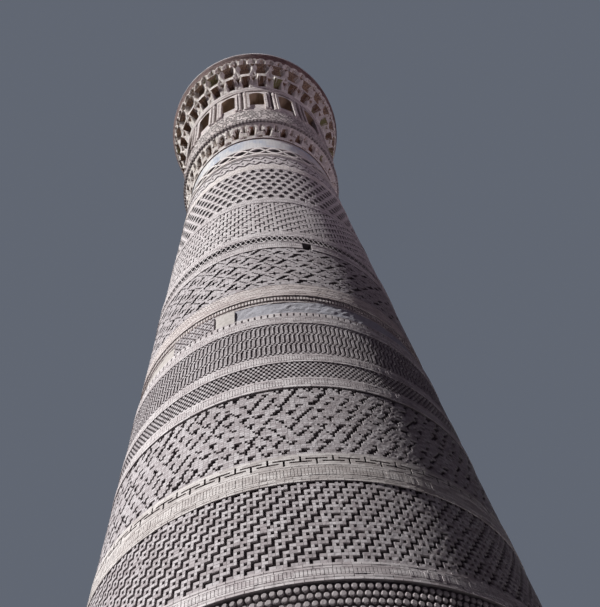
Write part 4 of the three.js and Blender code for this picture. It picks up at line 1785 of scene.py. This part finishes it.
def make_tier(node, cells, turn, columns, rows, seed, stains_and_shade, ground=0.0, below=None, above=None,
              cups=False, walls=1.0):
    """One tier of a cornice, which meets the faces of the rings below and above it. Upright cups
    can hang in front of it, one over each niche."""
    band = Band(node)
    band.low = Band(below).high if below else band.low
    band.high = Band(above).low if above else band.high

    def carve_in(angle, height, radius, hand):
        depth = pressed_in(cells, angle, height, radius, hand, ground)
        across = abs((angle - CUP_MIDDLE + CELL / 2) % CELL - CELL / 2)
        cup = (across < CUP_REACH) & (height > CUP_FOOT) & (height < CUP_HEAD) & cups
        return np.where(cup, band.face(height) - CUP_RADIUS, depth)

    shape = carved_tier(band, carve_in, turn, columns, rows, seed)
    clay = stained_clay(node + "_clay", band, cells[0][1] * METRE, stains_and_shade, ground, walls)
    make_piece(node, "cells", "corbel_brick", (clay, [shape]))


# %% Upper cornice
UPPER_TURN = -2.8
FOOT_CELLS = [
    ([(-3.4, 42.1), (3.2, 42.1), (3.2, 42.85), (2.0, 43.06), (0, 43.12), (-2.0, 43.06), (-3.4, 42.85)],
     0.36, 0.13),
    ([(6, 42.34), (8.4, 43.04), (3.6, 43.04)], 0.20, 0.10),
    ([(3.8, 42.04), (4.6, 42.04), (6.2, 42.32), (5.2, 42.32)], 0.10, 0.04),
]
MIDDLE_CELLS = [
    ([(-3.5, 43.33), (3.1, 43.33), (5.7, 43.78), (5.3, 44.1), (3.0, 44.34), (-3.6, 44.34), (-5.4, 44.1),
      (-5.8, 43.78)], 0.24, 0.14),
    ([(3.6, 43.08), (8.2, 43.08), (6, 43.56)], 0.16, 0.10),
    ([(6, 43.98), (7.9, 44.32), (4.1, 44.32)], 0.14, 0.08),
]
HEAD_CELLS = [
    ([(-2.9, 44.28), (2.7, 44.28), (2.8, 44.6), (0.6, 44.86), (-2.4, 44.6)], 0.24, 0.12),
    ([(3.1, 44.28), (8.7, 44.28), (8.8, 44.6), (6.6, 44.86), (3.6, 44.6)], 0.24, 0.12),
]
make_tier("upper_corbel_foot", FOOT_CELLS, UPPER_TURN, 24, 24, 201, DARK_STAINS_AND_SHADE, GROUND_DEPTH,
          below="arcade_cornice", above="upper_corbel_middle", cups=True)
make_tier("upper_corbel_middle", MIDDLE_CELLS, UPPER_TURN, 24, 24, 202, BROWN_STAINS_AND_SHADE, GROUND_DEPTH,
          above="upper_corbel_head", cups=True, walls=0.1)
make_tier("upper_corbel_head", HEAD_CELLS, UPPER_TURN, 20, 12, 203, BROWN_STAINS_AND_SHADE, GROUND_DEPTH, walls=0.1)

# %% [markdown]
# The lower cornice is smaller and has two tiers. Low arches with pale blocks between them
# make the first, and upright slots run on from it into the second. It needs no new code,
# only other cells, and its ground stays at the face.

# %% Lower cornice
LOWER_TURN = 3.0
LOWER_FOOT_CELLS = [
    ([(-8.8, 35.64), (-3.2, 35.64), (-2.0, 36.2), (-7.8, 36.2)], 0.28, 0.09),
    ([(-2.8, 35.5), (2.8, 35.5), (2.4, 35.6), (0, 35.68), (-2.4, 35.6)], 0.12, 0.03),
    ([(-1.0, 35.97), (3.6, 35.97), (3.6, 36.2), (-1.0, 36.2)], 0.16, 0.05),
]
LOWER_HEAD_CELLS = [
    ([(-7.8, 35.9), (-2.0, 35.9), (-1.8, 36.34), (-3.6, 36.5), (-6.8, 36.42)], 0.28, 0.09),
    ([(-0.8, 35.9), (2.2, 35.9), (2.4, 36.5), (0.9, 36.62), (-0.3, 36.5)], 0.20, 0.06),
    ([(2.4, 35.9), (3.8, 35.9), (3.4, 36.3), (2.8, 36.3)], 0.16, 0.04),
]
make_tier("lower_corbel_foot", LOWER_FOOT_CELLS, LOWER_TURN, 20, 15, 204, DARK_STAINS_AND_SHADE,
          above="lower_corbel_head")
make_tier("lower_corbel_head", LOWER_HEAD_CELLS, LOWER_TURN, 20, 15, 205, DARK_STAINS_AND_SHADE)

# %% [markdown]
# A row of small blocks with dark gaps runs under the parapet, like teeth. The blocks are
# loose bricks on a set-back ring, and only the ring gets painted shade: painted shade on the
# blocks' undersides would turn the whole row into one dark line when it is seen from below.

# %% Dentils
DENTILS_ROUND = 144
DENTILS_PROUD = 0.07 * METRE
DENTIL_GAP = 0.034
DENTIL_DEPTH = 0.05
DENTIL_FOOT = 0.05


def make_dentils():
    band = Band("dentil_course", -DENTILS_PROUD)
    # The ring's clay lays painted shade on everything set back behind the blocks; the blocks' clay has none.
    clay = brickwork("dentil_clay", "lantern", band, 1, DENTILS_ROUND, joint=0.0, painted_shade=0.95, recess=0.04)
    pale = brickwork("dentil_face_clay", "lantern", band, 1, DENTILS_ROUND, joint=0.0, painted_shade=0.0)
    low, high = band.at(DENTIL_FOOT), band.top
    blocks = brick_row(band, low, high, DENTILS_ROUND, DENTIL_GAP, DENTIL_DEPTH, 300)
    ring = plain_ring(band, DENTIL_DEPTH)
    make_piece("dentil_course", "blocks", "fillet_brick", (clay, [ring]), (pale, [blocks]))


make_dentils()

# %% [markdown]
# The parapet is laid in a fine net of set-back headers between two plain rows. The wall
# itself is one turned shape, and the net is a thin relief in front of it, so the many
# small cells don't have to reach through the whole wall. The lantern's floor behind it is
# paved, which is the same brickwork with its courses counted outward.

# %% Parapet and floor
PARAPET_BRICKS = (28, 180)
PARAPET_FACE = 0.02
NET_DEPTH = 0.016
NET_BACK = 0.03
NET_KEPT = 0.7


def parapet_net(rows=13, columns=280):
    """Small set-back headers like a chequer, about a third of them left out by chance."""
    row, column = grid(rows, columns)
    kept = shuffle(9).random((rows, columns)) < NET_KEPT
    return (((column + row) % 2 == 0) & kept).astype(int)


def make_parapet():
    band = Band("parapet_wall")
    # This clay lays painted shade in the net's set-back headers.
    clay = brickwork("parapet_clay", "lantern", band, *PARAPET_BRICKS, joint=0.003, shift=0.0, painted_shade=0.95,
                     recess=0.005)
    plain = brickwork("parapet_body_clay", "lantern", band, *PARAPET_BRICKS, joint=0.003, painted_shade=0.0)
    room, ledge = Band("arcade_piers").inner, Band("lantern_floor").bottom
    body = turned([
        (band.inner, band.bottom), (band.face(band.at(0.02)) - PARAPET_FACE, band.bottom),
        (band.high - PARAPET_FACE, band.top), (room, band.top), (room, ledge), (band.inner, ledge),
    ])
    levels = parapet_net()
    shares = np.linspace(0.06, 0.94, len(levels) + 1)
    net = even_relief(band, levels, [0.0, NET_DEPTH], 301, shares, back=band.low - NET_BACK)
    edges = fillet_rows(band, [THIN], 302, 0.0, 0.055) + fillet_rows(band, [THIN], 302, 0.945, 1.0)
    make_piece("parapet_wall", "brickwork", "lantern_brick", (plain, [body]), (clay, [net]), (plain, edges))


def make_floor():
    floor = Band("lantern_floor")
    paving = brickwork("floor_paving", "dressed", floor, (floor.top - floor.bottom) / HEADER, painted_shade=0.0,
                       paved=1.0)
    make_piece("lantern_floor", "paving", "dressed_brick", (paving, [plain_ring(floor)]))


make_parapet()
make_floor()

# %% [markdown]
# The lantern has sixteen low pointed arches. Each bay is a tall slot between two piers. A low
# wall closes its foot, and a flat pale frame stands out round it, so its left side throws a
# shadow on the wall. Two slender half columns stand on each pier with a dark groove between.
# Sixteen booleans through one ring would give the same openings, but piers and arches as
# separate blocks keep every reveal clean, and one loop sets them all.

# %% Blocks of the arcade
BAYS = 16
BAY = 360 / BAYS
OPENING = 0.68 * METRE
SPRING = 40.85 * METRE
ARCH_APEX = 41.18 * METRE
SHAFT_RADIUS = 0.07 * METRE
SHAFT_SIDES = 12
SHAFT_PROFILE = [(1.35, 0.0), (1.35, 0.04), (1.0, 0.06), (1.0, 0.8), (1.3, 0.82), (1.3, 1.0)]


def upright_box(across, width, low, high, near, far, angle):
    """A straight block whose middle is moved across from an angle."""
    half = width / 2
    outline = [(across - half, low), (across + half, low), (across + half, high), (across - half, high)]
    return prism(outline, near, far, angle)


def half_column(across, low, high, angle, reach):
    """A round shaft with a small base and cap, beside an angle."""
    outline = [(SHAFT_RADIUS * size, low + (high - low) * share) for size, share in SHAFT_PROFILE]
    shape = turned(outline, SHAFT_SIDES, capped=True)
    turn = math.radians(angle)
    middle = np.array([across * math.cos(turn) + reach * math.sin(turn),
                       across * math.sin(turn) - reach * math.cos(turn), 0])
    return shape[0] + middle, shape[1]


def arch_height(share):
    """Underside of an arch at a share of its half width."""
    return SPRING + (ARCH_APEX - SPRING) * (1 - share ** 1.8) ** 0.8


def arch_head(reach, room, top, angle):
    """The block over one window, with a curved underside, drawn through the wall."""
    share = np.linspace(-1, 1, 2 * ARCH_STEPS + 1)
    curve = list(zip(share * OPENING / 2, arch_height(abs(share))))
    outline = curve + [(OPENING / 2, top), (-OPENING / 2, top)]
    return prism(outline, room, reach, angle)


def pier_block(reach, room, low, high, angle):
    """One pier, wedge-shaped because both its sides face a window squarely."""
    sides = []
    for side in (-1, 1):
        window = math.radians(angle + side * BAY / 2)
        offset = -side * OPENING / 2
        for radius in (reach, room):
            along = math.sqrt(radius ** 2 - offset ** 2)
            sides.append((offset * math.cos(window) + along * math.sin(window),
                          offset * math.sin(window) - along * math.cos(window)))
    left_out, left_in, right_out, right_in = sides
    outline = [left_out, right_out, right_in, left_in]
    points = np.array([(x, y, height) for height in (low, high) for x, y in outline])
    faces = np.array([[0, 1, 5, 4], [1, 2, 6, 5], [2, 3, 7, 6], [3, 0, 4, 7]])
    return points, [faces, np.array([[3, 2, 1, 0], [4, 5, 6, 7]])]


print("a bay spans", BAY, "degrees")

# %% Arcade
PIER_TURN = -7.0
BAY_FOOT = 38.76 * METRE
SILL = 39.42 * METRE
INFILL_SET_BACK = 0.03 * METRE
INFILL_OVERLAP = 0.01
SHAFT_FOOT = 0.02
SHAFT_SPACING = 0.25 * METRE
PIER_SET_BACK = 0.07 * METRE
FRAME_WIDTH = 0.115 * METRE
FRAME_PROUD = 0.08 * METRE
FRAME_DEPTH = 0.05
FRAME_FOOT = 38.56 * METRE
FRAME_TOP = 41.36 * METRE
# Brown of the faces that don't look outward: partly the room's clay, partly painted shade.
INNER_CLAY_AND_SHADE = paint(166, 142, 118)
ARCADE_BRICKS = 170


def make_arcade():
    piers, arches = Band("arcade_piers"), Band("arcade_arches")
    room = piers.inner
    reach = arches.high - SHAFT_RADIUS
    clay = brickwork("pier_clay", "lantern", piers, None, ARCADE_BRICKS, joint=0.003, painted_shade=0.0)
    # The reveal clay lays that brown on every face that doesn't look outward, partly as the room's clay and
    # partly as painted shade.
    walls = brickwork("reveal_clay", "lantern", piers, None, ARCADE_BRICKS, joint=0.003, painted_shade=0.95,
                      hollow=INNER_CLAY_AND_SHADE, indoors=True)
    ring = turned([(room, piers.bottom), (reach, piers.bottom), (reach, BAY_FOOT), (room, BAY_FOOT)])
    shapes, heads = [(clay, [ring])], []
    wide = OPENING + INFILL_OVERLAP
    for number in range(BAYS):
        pier = PIER_TURN + number * BAY
        window = pier + BAY / 2
        low, high = (pier_block(reach - PIER_SET_BACK, room, *ends, pier)
                     for ends in ((BAY_FOOT, arches.bottom), (arches.bottom, arches.top)))
        sill = upright_box(0, wide, BAY_FOOT, SILL, room, reach - INFILL_SET_BACK, window)
        head = arch_head(reach + FRAME_PROUD - HAIR, room, FRAME_TOP, window)
        filling = upright_box(0, wide, FRAME_TOP, arches.top, room, reach - 4 * HAIR, window)
        shapes += [(walls, [low]), (clay, [sill])]
        heads += [(walls, [high, head]), (clay, [filling])]
        for side in (-1, 1):
            column = half_column(side * SHAFT_SPACING / 2, piers.bottom + SHAFT_FOOT,
                                 arches.top - SHAFT_FOOT / 2, pier, reach)
            edge = upright_box(side * (OPENING + FRAME_WIDTH) / 2, FRAME_WIDTH, FRAME_FOOT, FRAME_TOP,
                               reach - FRAME_DEPTH, reach + FRAME_PROUD, window)
            shapes.append((clay, [column, edge]))
    make_piece("arcade_piers", "brickwork", "lantern_brick", *shapes)
    make_piece("arcade_arches", "brickwork", "lantern_brick", *heads)


make_arcade()

# %% [markdown]
# A moulded cornice of rings closes the arcade. The rim over the upper cornice is four plain
# courses with a thin lip. Mouldings that run round a tower are what turning is for: the
# profile is a short list of steps back from the face.

# %% Cornice rings and rim
CORNICE_STEPS = [(0.0, 0.03), (0.12, 0.03), (0.14, 0.0), (0.34, 0.0), (0.36, 0.008), (0.6, 0.006),
                 (0.62, 0.0), (1.0, 0.0)]
RIM_LIP = 45.2 * METRE
RIM_LOW_BACK, RIM_HIGH_BACK = 0.012, 0.014
LIP_FROM = 0.62


def make_cornice():
    band = Band("arcade_cornice")
    clay = brickwork("cornice_clay", "lantern", band, 4, joint=0.002, painted_shade=0.8)
    face = [(band.face(band.at(share)) - drop, band.at(share)) for share, drop in CORNICE_STEPS]
    outline = [(band.inner, band.bottom)] + face + [(band.inner, band.top)]
    make_piece("arcade_cornice", "rings", "fillet_brick", (clay, [turned(outline)]))


def make_rim():
    band, slope, lip = Band("rim_ring"), Band("rim_ring"), Band("rim_ring")
    slope.top = lip.bottom = RIM_LIP
    lip.low = lip.high
    # The rim's dark clay is partly its own brown and partly painted shade of the sloping underside.
    clay = brickwork("rim_clay", "rim", band, joint=0.003, painted_shade=0.0)
    edge = brickwork("rim_edge_clay", "fillet", lip, 4, joint=0.003, painted_shade=0.0)
    body = turned([
        (band.inner, band.bottom), (band.low - RIM_LOW_BACK, band.bottom),
        (band.high - RIM_HIGH_BACK, RIM_LIP), (band.high - RIM_HIGH_BACK, band.top), (band.inner, band.top),
    ])
    rows = fillet_rows(slope, [THIN] * 4, 310)
    lip_rows = fillet_rows(lip, [THIN] * 2, 320, LIP_FROM, 1.0)
    make_piece("rim_ring", "bricks", "fillet_brick", (clay, [body] + rows), (edge, lip_rows))


make_cornice()
make_rim()

# %% [markdown]
# The roof behind the rim is paved with brick, and the stub of the pointed top stands in the
# middle. The vault under it shows through the windows, so its underside is a real dome. The
# roof itself is hidden behind the rim, so its shapes stay plain.

# %% Roof and vault
DECK_UNDER_RIM = 0.25 * METRE
VAULT_RISE = 1.1 * METRE
VAULT_STEPS = 14
VAULT_SIDES = 96
VAULT_EYE = 0.03


def make_roof():
    deck, cone = Band("roof_deck"), Band("roof_cone")
    paving = brickwork("roof_paving", "roof", deck, (deck.top - deck.bottom) / HEADER, painted_shade=0.0, paved=1.0)
    low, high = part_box("roof_deck")
    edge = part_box("rim_ring")[1].z - DECK_UNDER_RIM
    outline = [(high.x, low.z), (high.x, edge), (cone.low, deck.top)]
    make_piece("roof_deck", "paving", "roof_brick", (paving, [turned(outline, capped=True)]))

    clay = brickwork("cone_clay", "roof", cone, None, bricks_round(cone, HEADER), painted_shade=0.0)
    outline = [(cone.low, cone.bottom), (cone.high, cone.top)]
    make_piece("roof_cone", "bricks", "roof_brick", (clay, [turned(outline, capped=True)]))


def make_vault():
    vault = Band("lantern_vault")
    clay = brickwork("vault_clay", "vault", vault, None, bricks_round(vault, HEADER), painted_shade=0.0)
    span = Band("arcade_piers").inner
    turns = np.linspace(VAULT_EYE, math.pi / 2, VAULT_STEPS)
    dome = [(span * math.sin(turn), vault.bottom + VAULT_RISE * math.cos(turn)) for turn in turns]
    shape = turned(dome + [(vault.low, vault.bottom), (vault.low, vault.top)], VAULT_SIDES, capped=True)
    make_piece("lantern_vault", "bricks", "lantern_brick", (clay, [shape]))


make_roof()
make_vault()
print("triangles in all:", sum(counted))
